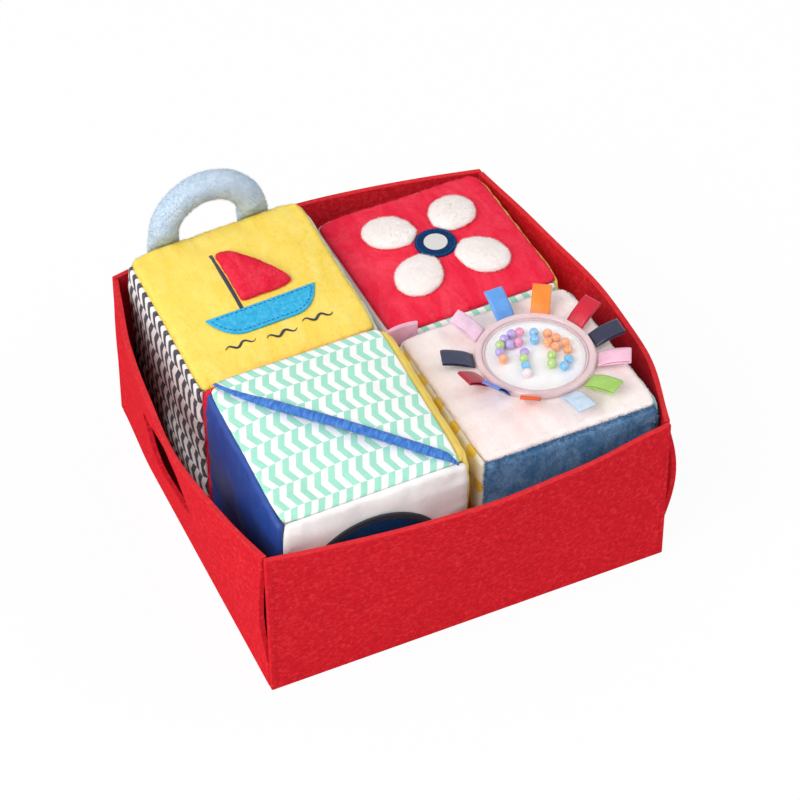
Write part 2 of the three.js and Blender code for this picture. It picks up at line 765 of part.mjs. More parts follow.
function pocketBlock(place) {
  const made = paddedBlock({
    name: "pocket_block",
    size: [BLOCK_SIZE, BLOCK_SIZE, BLOCK_SIZE + POCKET_BLOCK_RISE],
    crown: TOP_CROWN,
    lean: POCKET_BLOCK_LEAN,
    place,
    yaw: POCKET_BLOCK_YAW,
    colours: {
      top: 0xa9dccb,
      bottom: 0xf2ead0,
      left: 0x1f4aa0,
      right: 0xfbdc6e,
      front: 0xf1e6ea,
      back: 0xe23348,
    },
  });
  const disc = circleOutline(DISC_RADIUS, DISC_SIDES);
  const navy = laidPiece(made.block, "front", -DISC_SET_LEFT, -DISC_DROP, disc, APPLIQUE);
  made.group.add(
    named("pocket_flap", pocketFlap(made.block), cloth(0xa9dccb)),
    named("pocket_binding", pocketBinding(made.block), cloth(0x3b6fc0)),
    named("navy_felt_disc", navy, cloth(0x1e3a63)),
  );
  return made.group;
}

// Pale pink block with the rattle and its ribbons

function turned(profile) {
  const points = profile.map(([radius, height]) => new THREE.Vector2(radius, height));
  return new THREE.LatheGeometry(points, RATTLE_SIDES).rotateX(Math.PI / 2);
}

// A shallow dish with a rounded bezel round it
function rattleCase() {
  const inside = CASE_RADIUS - BEZEL_WIDTH;
  const soft = BEZEL_WIDTH / 4;
  return turned([
    [0, 0],
    [CASE_RADIUS - soft, 0],
    [CASE_RADIUS, BEZEL_HEIGHT / 3],
    [CASE_RADIUS, (2 * BEZEL_HEIGHT) / 3],
    [CASE_RADIUS - soft, BEZEL_HEIGHT],
    [inside + soft, BEZEL_HEIGHT],
    [inside, (3 * BEZEL_HEIGHT) / 4],
    [inside, CASE_FLOOR],
    [0, CASE_FLOOR],
  ]);
}

function rattleDome() {
  const skin = (radius, height) =>
    Array.from({ length: DOME_STEPS + 1 }, (_, i) => {
      const turn = ((Math.PI / 2) * i) / DOME_STEPS;
      return [radius * Math.cos(turn), DOME_SKIRT + (height - DOME_SKIRT) * Math.sin(turn)];
    });
  const outside = skin(DOME_RADIUS, DOME_HEIGHT);
  const inside = skin(DOME_RADIUS - DOME_WALL, DOME_HEIGHT - DOME_WALL);
  const closed = (rim) => rim.map(([radius, height], i) => [i === DOME_STEPS ? 0 : radius, height]);
  return turned([
    ...closed(inside).reverse(),
    [DOME_RADIUS - DOME_WALL, 0],
    [DOME_RADIUS, 0],
    ...closed(outside),
  ]);
}

// The beads as one ring that can turn under the dome: its tube swells at each bead and narrows between beads
function beadRing() {
  const count = BEADS * BEAD_STEPS;
  const pitch = (2 * Math.PI * BEAD_RING_RADIUS) / BEADS;
  const rings = Array.from({ length: count }, (_, i) => {
    const turn = (2 * Math.PI * i) / count;
    const step = i % BEAD_STEPS;
    const off = (Math.min(step, BEAD_STEPS - step) * pitch) / BEAD_STEPS;
    const tube = Math.max(BEAD_NECK, Math.sqrt(Math.max(0, BEAD_RADIUS ** 2 - off ** 2)));
    return Array.from({ length: BEAD_SIDES }, (_, k) => {
      const round = (2 * Math.PI * k) / BEAD_SIDES;
      const radius = BEAD_RING_RADIUS + tube * Math.cos(round);
      return new THREE.Vector3(radius * Math.cos(turn), radius * Math.sin(turn), -tube * Math.sin(round));
    });
  });
  return loft(rings);
}

function ribbonTab(rise) {
  const [level, climb] = [Math.cos(rise * DEGREE), Math.sin(rise * DEGREE)];
  return sheet(RIBBON_STEPS, 1, (u, v, side) => {
    const along = (RIBBON_LENGTH * (u + 1)) / 2;
    const off = (0.5 - side) * RIBBON_THICKNESS + RIBBON_CURL * (1 - u * u);
    return new THREE.Vector3(
      along * level - off * climb,
      (RIBBON_WIDTH * v) / 2,
      along * climb + off * level,
    );
  });
}

function rattleBlock(place) {
  const made = paddedBlock({
    name: "rattle_block",
    size: [BLOCK_SIZE, BLOCK_SIZE, BLOCK_SIZE - RATTLE_BLOCK_SINK],
    crown: FLAT_TOP_CROWN,
    lean: RATTLE_BLOCK_LEAN,
    place,
    yaw: RATTLE_BLOCK_YAW,
    colours: {
      top: 0xfdeeea,
      bottom: 0xf2ead0,
      left: 0xfaf3e0,
      right: 0x8fc7c9,
      front: 0x3b74b0,
      back: 0xf1e6ea,
    },
  });
  const seat = made.block.height / 2 + made.block.crown + CLEARANCE;
  const rattle = new THREE.Group();
  rattle.name = "rattle";
  rattle.position.set(RATTLE_SET_RIGHT, RATTLE_SET_BACK, seat);
  rattle.add(named("rattle_case", rattleCase(), clearPlastic(0xf3c9d6, 0.6)));
  const dome = named("rattle_dome", rattleDome(), clearPlastic(0xffffff, 0.3));
  dome.position.z = CASE_FLOOR + CLEARANCE;
  const beads = named("rattle_beads", beadRing(), cloth(0xf0a04a, 0.3));
  beads.position.z = CASE_FLOOR + CLEARANCE + BEAD_RADIUS;
  rattle.add(dome, beads);
  RIBBONS.forEach(({ bearing, rise, colour }, i) => {
    const tab = new THREE.Group();
    const root = CASE_RADIUS + CLEARANCE + RIBBON_THICKNESS / 2;
    tab.rotation.z = bearing * DEGREE;
    tab.position.set(root * Math.cos(bearing * DEGREE), root * Math.sin(bearing * DEGREE), RIBBON_LEVEL);
    const number = String(i + 1).padStart(2, "0");
    tab.add(named("ribbon_tab_" + number, ribbonTab(rise), satin(colour)));
    rattle.add(tab);
  });
  made.group.add(rattle);
  return made.group;
}

// The whole set, with the tray's outer box centred on the origin

const boatDepth = BLOCK_SIZE + BOAT_BLOCK_EXTRA_DEPTH;
const backRow = twoPlaces(TRAY_INNER_WIDTH, BACK_ROW_SHARES, BLOCK_SIZE, BLOCK_SIZE);
const frontRow = twoPlaces(TRAY_INNER_WIDTH, FRONT_ROW_SHARES, BLOCK_SIZE, BLOCK_SIZE);
const leftColumn = twoPlaces(TRAY_INNER_DEPTH, LEFT_COLUMN_SHARES, BLOCK_SIZE, boatDepth);
const rightColumn = twoPlaces(TRAY_INNER_DEPTH, RIGHT_COLUMN_SHARES, BLOCK_SIZE, BLOCK_SIZE);

const set = new THREE.Group();
set.position.set((LEFT_BOW - RIGHT_BOW) / 2, (FRONT_BOW - BACK_BOW) / 2, 0);
set.add(
  tray(),
  boatBlock([backRow[0], leftColumn[1]]),
  flowerBlock([backRow[1], rightColumn[1]]),
  pocketBlock([frontRow[0], leftColumn[0]]),
  rattleBlock([frontRow[1], rightColumn[0]]),
);

export default set;
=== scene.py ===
"""Soft activity blocks in a felt tray: four padded fabric cubes, two by two, in an open tray of thick felt.

Shapes are worked out in millimetres and written into the meshes in metres, +Z up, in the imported
model's frame.
"""

import math

import bpy
import numpy as np
from mathutils import Matrix, Vector


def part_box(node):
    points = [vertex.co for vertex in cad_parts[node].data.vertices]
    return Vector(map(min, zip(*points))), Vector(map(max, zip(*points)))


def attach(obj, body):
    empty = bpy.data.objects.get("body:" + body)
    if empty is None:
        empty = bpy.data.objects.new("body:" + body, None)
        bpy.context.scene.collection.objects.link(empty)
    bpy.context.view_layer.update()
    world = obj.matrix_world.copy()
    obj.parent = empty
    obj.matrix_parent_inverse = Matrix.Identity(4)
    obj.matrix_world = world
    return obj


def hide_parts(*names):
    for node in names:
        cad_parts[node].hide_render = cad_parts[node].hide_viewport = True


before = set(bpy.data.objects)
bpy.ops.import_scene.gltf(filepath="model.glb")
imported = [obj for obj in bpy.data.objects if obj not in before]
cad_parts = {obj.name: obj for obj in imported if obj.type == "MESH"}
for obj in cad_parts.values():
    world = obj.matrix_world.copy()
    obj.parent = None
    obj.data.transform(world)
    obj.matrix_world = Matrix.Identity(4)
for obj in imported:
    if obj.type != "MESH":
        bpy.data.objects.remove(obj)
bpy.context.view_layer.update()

bl_info = {
    "name": "Soft activity blocks",
    "version": (1, 0, 0),
    "blender": (4, 5, 0),
    "location": "View3D > Sidebar > Soft blocks",
    "description": "Makes four padded fabric blocks in a felt tray, with their cloths and trims",
    "category": "Add Mesh",
}

# One millimetre in metres
MM = 0.001

# Gap kept between pieces that touch
CLEARANCE = 0.3


def node_box(node):
    """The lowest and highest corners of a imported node, in millimetres."""
    return np.array(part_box(node)) / MM


# The tray's sizes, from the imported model
BASE_LOW, BASE_HIGH = node_box("tray_base")
TRAY_MIDDLE = (BASE_LOW + BASE_HIGH)[:2] / 2
FELT = BASE_HIGH[2]
FRONT_LOW, FRONT_HIGH = node_box("tray_front_wall")
WALL_HEIGHT = FRONT_HIGH[2]
TRAY_WIDTH = FRONT_HIGH[0] - FRONT_LOW[0]
TRAY_DEPTH = BASE_HIGH[1] - BASE_LOW[1] + 2 * (CLEARANCE + FELT)
FRONT_BOW = TRAY_MIDDLE[1] - TRAY_DEPTH / 2 - FRONT_LOW[1]
BACK_BOW = node_box("tray_back_wall")[1][1] - TRAY_MIDDLE[1] - TRAY_DEPTH / 2
LEFT_BOW = TRAY_MIDDLE[0] - TRAY_WIDTH / 2 - node_box("tray_left_wall")[0][0]
RIGHT_BOW = node_box("tray_right_wall")[1][0] - TRAY_MIDDLE[0] - TRAY_WIDTH / 2

# How far forward the side walls are widest, and the gape of each side wall's front and back ends
SIDE_BOW_FORWARD_SHARE = 0.2
RIGHT_GAPES = (6.5, 3)
LEFT_GAPES = (3, 1)
GAPE_REACH = 16
GAPE_LOW = 18
GAPE_HIGH = 90

# Two opposite corners of the tray are sewn a little further in: how far at the foot and at the top
BACK_LEFT_TUCK = (2.5, 4.8)
FRONT_RIGHT_TUCK = (0, 3)

# The hand slots. The felt sags out under each slot and is drawn in over it, as far along as the reach.
SLOT_LENGTH = 72
SLOT_HEIGHT = 14
SLOT_LEVEL = 55
SLOT_SET_BACK = 8
SLOT_SAG = 3
SLOT_SAG_REACH = 43.2

# Felt that wobbles a little, though not near the foot and the ends of a wall, and its stitches
FELT_WOBBLE = 0.45
FELT_WAVE = 70
STILL_FOOT = 20
STILL_END = 12
BASE_STEPS = 30
WALL_STEPS = (110, 48)
SLOTTED_WALL_STEPS = (240, 30)
STITCH_INSET = 3
STITCH_PITCH = 4
STITCH_LENGTH = 3
STITCH_THREAD = 0.22

# Padded blocks, measured from seam to seam. Their filling stands to different heights.
BLOCK_SIZE = 102
BOAT_BLOCK_EXTRA_DEPTH = 4
BOAT_BLOCK_RISE = 5.3
FLOWER_BLOCK_SINK = 6
POCKET_BLOCK_RISE = 8.3
RATTLE_BLOCK_SINK = 1.8
TOP_CROWN = 4
FLAT_TOP_CROWN = 2.5
SIDE_CROWN = 2
SEAM_DRAW = 1
CORNER_PULL = 3
CORNER_SHARPNESS = 6
COVER_THICKNESS = 1.2
CORE_INSET = 1.8
SEAM_GROOVE = 0.4
SEAM_GROOVE_WIDTH = 0.8
PUCKER_REACH = 5
PUCKER_PITCH = 7
COVER_STEPS = 72
TOP_STEPS = 120
CORE_STEPS = 20

# How far a side cloth of the mint block comes over the top's edge
YELLOW_OVERLAP = 6.5
RED_OVERLAP = 2.8

# Boat
HULL_LENGTH = 62
HULL_DEPTH = 17
HULL_DROP = 21
SAIL_WIDTH = 31
SAIL_HEIGHT = 37
SAIL_LIFT = 9
SAIL_PAD = 4
SAIL_PILE = 0.8
MAST_SET_LEFT = 9
MAST_WIDTH = 1.1
MAST_GAP = 1.6
MAST_FOOT = 6
MAST_HEAD = 2
WAVE_LENGTH = 17
WAVE_HEIGHT = 1.3
WAVE_PLACES = ((-20, -34), (2, -36.5), (23, -34))

# Stuffed ring handle
HANDLE_RADIUS = 25.6
HANDLE_TUBE = 7.5
HANDLE_FLAT_SHARE = 0.36
HANDLE_SEAM_EDGE = 0.4
HANDLE_SPREAD_SHARE = 0.8
HANDLE_RISE = 1
HANDLE_SET_LEFT = 2.2
HANDLE_LEAN_BACK = 3
HANDLE_INSET = 0.8
HANDLE_SAG_SHARE = 0.94
HANDLE_FOOT_HEIGHT = 10
HANDLE_FOOT_DROP = 3.8
HANDLE_FOOT_SPREAD_SHARE = 0.2

# Flower
PETALS = 4
FLOWER_CENTRE_RADIUS = 11.5
FLOWER_EYE_RADIUS = 6.5
PETAL_LENGTH = 29
PETAL_WIDTH = 26
PETAL_PAD = 4
PETAL_ROOT_SHARE = 0.42
PETAL_PILE = 1.2

# Felt laid on a block, and embroidery
APPLIQUE = 1
EMBROIDERY_STEP = 0.7
EMBROIDERY_SIDES = 10

# Pocket
POCKET_CLOTH = 1.2
POCKET_PUFF = 1.4
POCKET_SLACK = 6
POCKET_CORNER_INSET = 6
BINDING_RADIUS = 2
DISC_RADIUS = 39
DISC_DROP = 0.6
DISC_SET_LEFT = 3
DISC_EDGE = 2

# Ribbons
RIBBON_THICKNESS = 0.35
RIBBON_FOLD = 0.75
RIBBON_WIDTH = 10
RIBBON_LENGTH = 17
RIBBON_CURL = 0.8
RIBBON_LEVEL = 1
TAG_WIDTH = 14
TAG_LENGTH = 19.5
TAG_RISE = 1.2
TAG_ARCH = 1

# Rattle
RATTLE_SET_RIGHT = 6.2
RATTLE_SET_BACK = 2.7
CASE_RADIUS = 30.75
CASE_FLOOR = 1.5
BEZEL_WIDTH = 5.2
BEZEL_HEIGHT = 3.6
BEZEL_STEP = 1.5
DOME_HEIGHT = 9.5
DOME_WALL = 1.2
BEAD_RADIUS = 2.5

# Each ribbon's bearing from +X and its rise at rest, in degrees, and its look
RIBBONS = [
    (126, 25, "lilac_satin"),
    (91, 30, "sky_blue_satin"),
    (58, 25, "orange_satin"),
    (23, 25, "crimson_satin"),
    (-4, 17, "navy_satin"),
    (-30, 14, "pink_satin"),
    (-60, 14, "green_satin"),
    (-86, 14, "ice_blue_satin"),
    (-122, 45, "orange_red_satin"),
    (-150, 50, "violet_blue_satin"),
    (-170, 35, "dark_red_satin"),
    (161, 14, "ink_blue_satin"),
]

# Where the beads lie in the rattle, across and back from its middle, by colour
BEADS = {
    "lilac": [(-10.2, 15), (-9.5, 10.2), (-5.1, 16.9), (-5.5, 1.9), (-16.6, 7.3)],
    "pink": [(-0.8, 16.3), (-4.6, 9.9)],
    "blue": [(5.7, 12.9), (3.6, 8.1), (12.4, -11.9), (7.9, -15.5), (-9.4, -7.1)],
    "orange": [(14, 4.5), (10.6, -1.2), (16.7, -0.3), (15.2, -6), (8.6, 3.6), (11.7, 9.4), (-17.2, 2.2)],
    "green": [(6, -6), (3.2, -11.2), (-7.8, -2), (-14.1, 11.9)],
    "pale": [(-11.3, -12)],
}
BEAD_COLOURS = {
    "lilac": "#a98add",
    "pink": "#ee6fae",
    "blue": "#48b4ea",
    "orange": "#fd9429",
    "green": "#a9d04f",
    "pale": "#f6dfe4",
}

# Printed cottons
BAND = 14.5
STRIPE_PITCH = 7.3
CHEVRON_SHIFT = 2.9
DOT_PITCH = 18.5
DOT_ROW_PITCH = 17
DOT_RADIUS = 4.2
DOT_TOP_ROW = 47.6

# Camera
CAMERA_PLACE = (-385.73, -847.75, 961.64)
CAMERA_TURNS = (45.85, -0.24, -24.76)
CAMERA_LENS = 111.4
CAMERA_SENSOR = 36

# Floor and lights, in metres: each light's place and size. They look at the tray's middle.
FLOOR_HALF_WIDTH = 4
FLOOR_LEVEL = -0.0005
LIGHTS = {
    "key": ((-2.35, -0.95, 2.4), 2.4),
    "fill": ((1.8, -0.7, 1.7), 2.4),
    "low": ((-2.3, 0.1, 0.4), 1.2),
}
LIGHT_AIM = (0, 0, 0.05)

# The faces of a block: the way each looks out, and the ways its own two axes run
FACES = {
    "top": ((0, 0, 1), (1, 0, 0), (0, 1, 0)),
    "bottom": ((0, 0, -1), (1, 0, 0), (0, -1, 0)),
    "right": ((1, 0, 0), (0, 1, 0), (0, 0, 1)),
    "left": ((-1, 0, 0), (0, -1, 0), (0, 0, 1)),
    "back": ((0, 1, 0), (-1, 0, 0), (0, 0, 1)),
    "front": ((0, -1, 0), (1, 0, 0), (0, 0, 1)),
}

# Each block's size, crown, turn in degrees, the rise of its top at the right and back edges, and its cloths
BLOCKS = {
    "boat_block": {
        "size": (BLOCK_SIZE, BLOCK_SIZE + BOAT_BLOCK_EXTRA_DEPTH, BLOCK_SIZE + BOAT_BLOCK_RISE),
        "crown": TOP_CROWN,
        "yaw": 0.5,
        "lean": (3, 4.4),
        "cloths": {
            "top": "yellow_plush",
            "bottom": "cream_cotton",
            "left": "navy_herringbone_cotton",
            "right": "pale_green_cotton",
            "front": "red_plush",
            "back": "pale_green_cotton",
        },
    },
    "flower_block": {
        "size": (BLOCK_SIZE, BLOCK_SIZE, BLOCK_SIZE - FLOWER_BLOCK_SINK),
        "crown": TOP_CROWN,
        "yaw": 0.5,
        "lean": (1.3, 0.3),
        "cloths": {
            "top": "red_plush",
            "bottom": "cream_cotton",
            "left": "blush_cotton",
            "right": "yellow_cotton",
            "front": "mint_herringbone_cotton",
            "back": "pale_green_cotton",
        },
    },
    "pocket_block": {
        "size": (BLOCK_SIZE, BLOCK_SIZE, BLOCK_SIZE + POCKET_BLOCK_RISE),
        "crown": TOP_CROWN,
        "yaw": -0.6,
        "lean": (2, 2.4),
        "cloths": {
            "top": "mint_herringbone_cotton",
            "bottom": "cream_cotton",
            "left": "royal_blue_satin",
            "right": "yellow_cotton",
            "front": "white_cotton",
            "back": "red_plush",
        },
    },
    "rattle_block": {
        "size": (BLOCK_SIZE, BLOCK_SIZE, BLOCK_SIZE - RATTLE_BLOCK_SINK),
        "crown": FLAT_TOP_CROWN,
        "yaw": 0.8,
        "lean": (0, 0),
        "cloths": {
            "top": "pale_pink_plush",
            "bottom": "cream_cotton",
            "left": "dotted_cotton",
            "right": "aqua_cotton",
            "front": "denim_blue_plush",
            "back": "white_cotton",
        },
    },
}

# How far a cloth reaches over an edge that it shares, in millimetres, where the seam isn't on the edge
SEAM_SHIFTS = {
    ("pocket_block", "top"): {"right": -YELLOW_OVERLAP, "up": -RED_OVERLAP},
    ("pocket_block", "right"): {"up": YELLOW_OVERLAP},
    ("pocket_block", "back"): {"up": RED_OVERLAP},
}

# How deep each kind of cloth folds, how far apart, and how deep it puckers at its seams
FOLDS = {
    "plush": (0.35, 34, 0.25),
    "cotton": (0.5, 34, 0.25),
    "satin": (0.8, 40, 0.35),
}

# How many fibres stand on each piled piece and along each seam of a plush panel, and how thick they are
FIBRES = {"top": 15000, "front": 12000, "back": 3000, "seam": 900}
FIBRES |= {"sail": 6500, "ring": 15000, "petal": 3600}
FIBRE_THICKNESS = 0.1
STUFFED_FIBRE_THICKNESS = 0.11

# The denim blue plush is shaggier, and the fibres along a seam are longer
DENIM_SHARE = 1.9
SEAM_FIBRE_SHARE = 1.5


# Colours

def linear(colour):
    """The linear red, green and blue of an sRGB colour that is written in hexadecimal."""
    parts = np.array([int(colour[i:i + 2], 16) for i in (1, 3, 5)]) / 255
    return tuple(np.where(parts <= 0.04045, parts / 12.92, ((parts + 0.055) / 1.055) ** 2.4))


def opaque(colour):
    """The linear colour with an alpha of one, from hexadecimal or from three numbers."""
    parts = linear(colour) if isinstance(colour, str) else colour
    return (*parts, 1.0)


# Sizes and colours that a user would change

def length_property(name, description, default):
    return bpy.props.FloatProperty(
        name=name, description=description, default=default * MM, min=0, unit="LENGTH", precision=5
    )


def colour_property(name, description, default):
    return bpy.props.FloatVectorProperty(
        name=name, description=description, default=linear(default), min=0, max=1, subtype="COLOR"
    )


def light_property(name, description, default):
    return bpy.props.FloatProperty(name=name, description=description, default=default, min=0)


class SoftBlocksTrayLooks(bpy.types.PropertyGroup):
    """The felt tray's looks"""

    felt: colour_property("Felt", "Colour of the tray's felt", "#da2230")
    felt_light: colour_property("Felt fibres", "Colour of the felt's paler fibres", "#f4504f")
    thread: colour_property("Thread", "Colour of the tray's stitches", "#c01c29")
    soft_edge: length_property("Soft edge", "How far the felt's cut edges are rounded", 0.7)


class SoftBlocksCoverLooks(bpy.types.PropertyGroup):
    """The padded blocks' looks"""

    rounding: length_property("Edge rounding", "Radius of the padded blocks' edges", 5)
    pile: length_property("Pile", "Length of the short plush's fibres", 0.8)
    long_pile: length_property("Long pile", "Length of the long plush's fibres", 1.3)
    yellow: colour_property("Yellow plush", "Colour of the boat block's top", "#fbdb60")
    red: colour_property("Red plush", "Colour of the flower block's top", "#f02a47")
    pale_pink: colour_property("Pale pink plush", "Colour of the rattle block's top", "#feeeec")
    denim: colour_property("Denim blue plush", "Colour of the rattle block's front", "#5788b8")
    mint: colour_property("Mint print", "Colour of the mint herringbone", "#9be0c8")
    navy: colour_property("Navy print", "Colour of the navy herringbone", "#0d1130")
    dots: colour_property("Dots", "Colour of the dots", "#fad22a")


class SoftBlocksStageLooks(bpy.types.PropertyGroup):
    """The floor and the lights"""

    floor: colour_property("Floor", "Colour of the floor", "#f4f3f2")
    key: light_property("Key light", "Power of the key light in watts", 90)
    fill: light_property("Fill light", "Power of the fill light in watts", 19)
    low: light_property("Low light", "Power of the low light on the left in watts", 6)
    sky: light_property("Sky", "Strength of the even light from all round", 0.47)


# Numbers for shapes

def unit(vectors):
    """Vectors divided by their lengths."""
    return vectors / np.maximum(np.linalg.norm(vectors, axis=-1, keepdims=True), 1e-9)


def spread(count, low=-1.0, high=1.0):
    return np.linspace(low, high, count)


def crowded(count, low=-1.0, high=1.0):
    """Steps from low to high that lie closest at both ends: half a sine wave."""
    return (low + high) / 2 + (high - low) / 2 * np.sin(np.pi / 2 * np.linspace(-1, 1, count))


def smooth(value):
    """Nought below 0, one above 1, and three squares less two cubes between."""
    value = np.clip(value, 0, 1)
    return value * value * (3 - 2 * value)


def ripple(a, b, seed, pitch, waves=6):
    """Soft folds between -1 and 1: the mean of sine waves of about one pitch, each with its own way."""
    rng = np.random.default_rng(seed)
    turns, phases = rng.uniform(0, np.pi, waves), rng.uniform(0, 2 * np.pi, waves)
    lengths = pitch * rng.uniform(0.6, 1.5, waves)
    way = (a[..., None] * np.cos(turns) + b[..., None] * np.sin(turns)) / lengths
    return np.sin(2 * np.pi * way + phases).mean(-1) * 2


def grid_normals(points):
    """The way a grid of points faces: its step along a row crossed with its step along a column."""
    return unit(np.cross(np.gradient(points, axis=1), np.gradient(points, axis=0)))


def spun(turn):
    """What points are multiplied by to turn them about Z, by an angle from +X towards +Y."""
    c, s = math.cos(turn), math.sin(turn)
    return np.array([[c, s, 0], [-s, c, 0], [0, 0, 1]])


def along_line(path):
    """How far along a path each of its points lies."""
    steps = np.linalg.norm(np.diff(path, axis=0), axis=1)
    return np.concatenate([[0], np.cumsum(steps)])


# Shapes: each is its points and a list of face arrays

def quads(rows, columns, first=0, round_columns=False, round_rows=False, flipped=False):
    """Four corners for each cell of a grid, right-handed with columns before rows."""
    index = np.arange(rows * columns).reshape(rows, columns) + first
    if round_rows:
        index = np.vstack([index, index[:1]])
    if round_columns:
        index = np.hstack([index, index[:, :1]])
    cells = np.stack([index[:-1, :-1], index[:-1, 1:], index[1:, 1:], index[1:, :-1]], -1).reshape(-1, 4)
    return cells[:, ::-1] if flipped else cells


def border_strip(ring, behind):
    """Faces between a ring of indices and the ring behind it."""
    after, behind_after = np.roll(ring, -1), np.roll(behind, -1)
    return np.stack([after, ring, behind, behind_after], -1)


def shell(outer, inner, round_columns=False):
    """A closed sheet between an outer and an inner grid, joined round its border."""
    rows, columns = outer.shape[:2]
    count = rows * columns
    index = np.arange(count).reshape(rows, columns)
    faces = [
        quads(rows, columns, 0, round_columns),
        quads(rows, columns, count, round_columns, flipped=True),
    ]
    if round_columns:
        rings = [index[0], index[-1, ::-1]]
    else:
        rings = [np.concatenate([index[0, :-1], index[:-1, -1], index[-1, :0:-1], index[:0:-1, 0]])]
    faces += [border_strip(ring, ring + count) for ring in rings]
    points = np.concatenate([outer.reshape(-1, 3), inner.reshape(-1, 3)])
    return points, faces


def capped(rings):
    """A closed skin over rings that turn right-handed about the way they run, closed at both ends."""
    count, sides = rings.shape[:2]
    ends = rings[[0, -1]].mean(1)
    first = count * sides
    around = np.arange(sides)
    after = np.roll(around, -1)
    near = np.stack([np.full(sides, first), after, around], -1)
    far = np.stack([np.full(sides, first + 1), around + first - sides, after + first - sides], -1)
    return np.concatenate([rings.reshape(-1, 3), ends]), [quads(count, sides, 0, True), near, far]


def hoop(sections):
    """A closed skin over sections that join end to end, each section a closed ring of points."""
    return sections.reshape(-1, 3), [quads(*sections.shape[:2], 0, True, True)]


def joined(shapes):
    """Several shapes as one."""
    points, faces, first = [], [], 0
    for shape_points, shape_faces in shapes:
        points.append(shape_points)
        faces += [part + first for part in shape_faces]
        first += len(shape_points)
    return np.concatenate(points), faces


def roll(path, up, width, height, sides=14):
    """A tube along a path: at each point an ellipse, width across and height along up, as half sizes."""
    along = unit(np.gradient(path, axis=0))
    across = unit(np.cross(np.broadcast_to(up, path.shape), along))
    upward = np.cross(along, across)
    turn = 2 * np.pi * np.arange(sides) / sides
    wide = across[:, None] * (np.broadcast_to(width, len(path))[:, None] * np.cos(turn))[..., None]
    high = upward[:, None] * (np.broadcast_to(height, len(path))[:, None] * np.sin(turn))[..., None]
    return capped(path[:, None] + wide + high)


def tube_flat(path, sides, pitch):
    """A rolled tube's flat places: how far along its path, and a pitch for each of its sides."""
    flat = np.stack([np.repeat(along_line(path), sides), np.tile(np.arange(sides) * pitch, len(path))], -1)
    return np.concatenate([flat, flat[[0, -1]]])


def stitches(path, up, pitch, length, thread):
    """A row of stitches along a path: each a short thread that dips at both ends, as a half sine wave."""
    gone = along_line(path)
    share = spread(7, 0, 1)
    arch = np.sin(np.pi * share)
    made = []
    for start in np.arange((pitch - length) / 2, gone[-1] - length, pitch):
        line = np.stack([np.interp(start + length * share, gone, path[:, axis]) for axis in range(3)], -1)
        line = line + np.asarray(up) * (thread * (1.6 * arch - 0.9))[:, None]
        made.append(roll(line, up, thread * (0.5 + 0.5 * arch), thread * 0.8, 6))
    return joined(made)


# Fibres: the shortest and the longest as shares of their length, how much they stray, how deep they root
FIBRE_SHARES = (0.5, 1.1)
FIBRE_STRAY = 0.55
FIBRE_ROOT = 0.15


def pile(grid, count, length, width, lean, seed):
    """Fibres on a grid: three-sided spikes whose roots are spread evenly by area, bent over by lean."""
    rng = np.random.default_rng(seed)
    across = grid[:-1, 1:] - grid[:-1, :-1]
    down = grid[1:, :-1] - grid[:-1, :-1]
    normal = np.cross(across, down).reshape(-1, 3)
    area = np.linalg.norm(normal, axis=1)
    cell = rng.choice(len(area), count, p=area / area.sum())
    row, column = np.divmod(cell, grid.shape[1] - 1)
    s, t = rng.random((2, count, 1))
    root = grid[row, column] + s * across[row, column] + t * down[row, column]
    normal = unit(normal[cell])
    side = unit(np.cross(normal, rng.normal(size=(count, 3))))
    third = np.cross(normal, side)
    way = unit(normal + np.asarray(lean) + FIBRE_STRAY * rng.normal(size=(count, 3)))
    tip = root + way * (length * rng.uniform(*FIBRE_SHARES, (count, 1)))
    turn = 2 * np.pi * np.arange(3) / 3
    foot = root[:, None] - FIBRE_ROOT * normal[:, None]
    foot = foot + width * (side[:, None] * np.cos(turn)[:, None] + third[:, None] * np.sin(turn)[:, None])
    points = np.concatenate([foot, tip[:, None]], 1).reshape(-1, 3)
    sides = np.array([[0, 1, 3], [1, 2, 3], [2, 0, 3], [2, 1, 0]])
    return points, [(4 * np.arange(count)[:, None, None] + sides).reshape(-1, 3)]


# Pieces

def add_piece(name, body, shape, look, replaced=None, flat=None, bevel=0):
    """Writes a shape into the scene as a piece that rides on a body and wears a look. flat gives each point
    its place on the uncut cloth, in millimetres, which prints and weaves follow."""
    points, faces = shape
    mesh = bpy.data.meshes.new(name)
    mesh.from_pydata((points * MM).tolist(), [], [face for part in faces for face in part.tolist()])
    if flat is not None:
        corners = np.empty(len(mesh.loops), np.int32)
        mesh.loops.foreach_get("vertex_index", corners)
        cloth = mesh.uv_layers.new(name="cloth")
        cloth.data.foreach_set("uv", flat[corners].astype(np.float32).ravel())
    mesh.shade_smooth()
    mesh.materials.append(finish(look))
    piece = bpy.data.objects.new(name, mesh)
    bpy.context.scene.collection.objects.link(piece)
    if bevel:
        soften = piece.modifiers.new("soft_edge", "BEVEL")
        soften.width = bevel
        soften.segments = 3
        soften.limit_method = "ANGLE"
        soften.angle_limit = math.radians(50)
        soften.harden_normals = True
    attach(piece, body)
    if replaced:
        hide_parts(replaced)
    return piece


# Shader nodes

# Ends the name of each material made here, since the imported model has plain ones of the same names
OWN = "_look"

# The scale at which a wave texture repeats once in each millimetre
WAVE_SCALE = 0.314

WHITE = (1.0, 1.0, 1.0, 1.0)


def cleared(holder):
    """The emptied node tree of a material or a world."""
    holder.use_nodes = True
    holder.node_tree.nodes.clear()
    return holder.node_tree


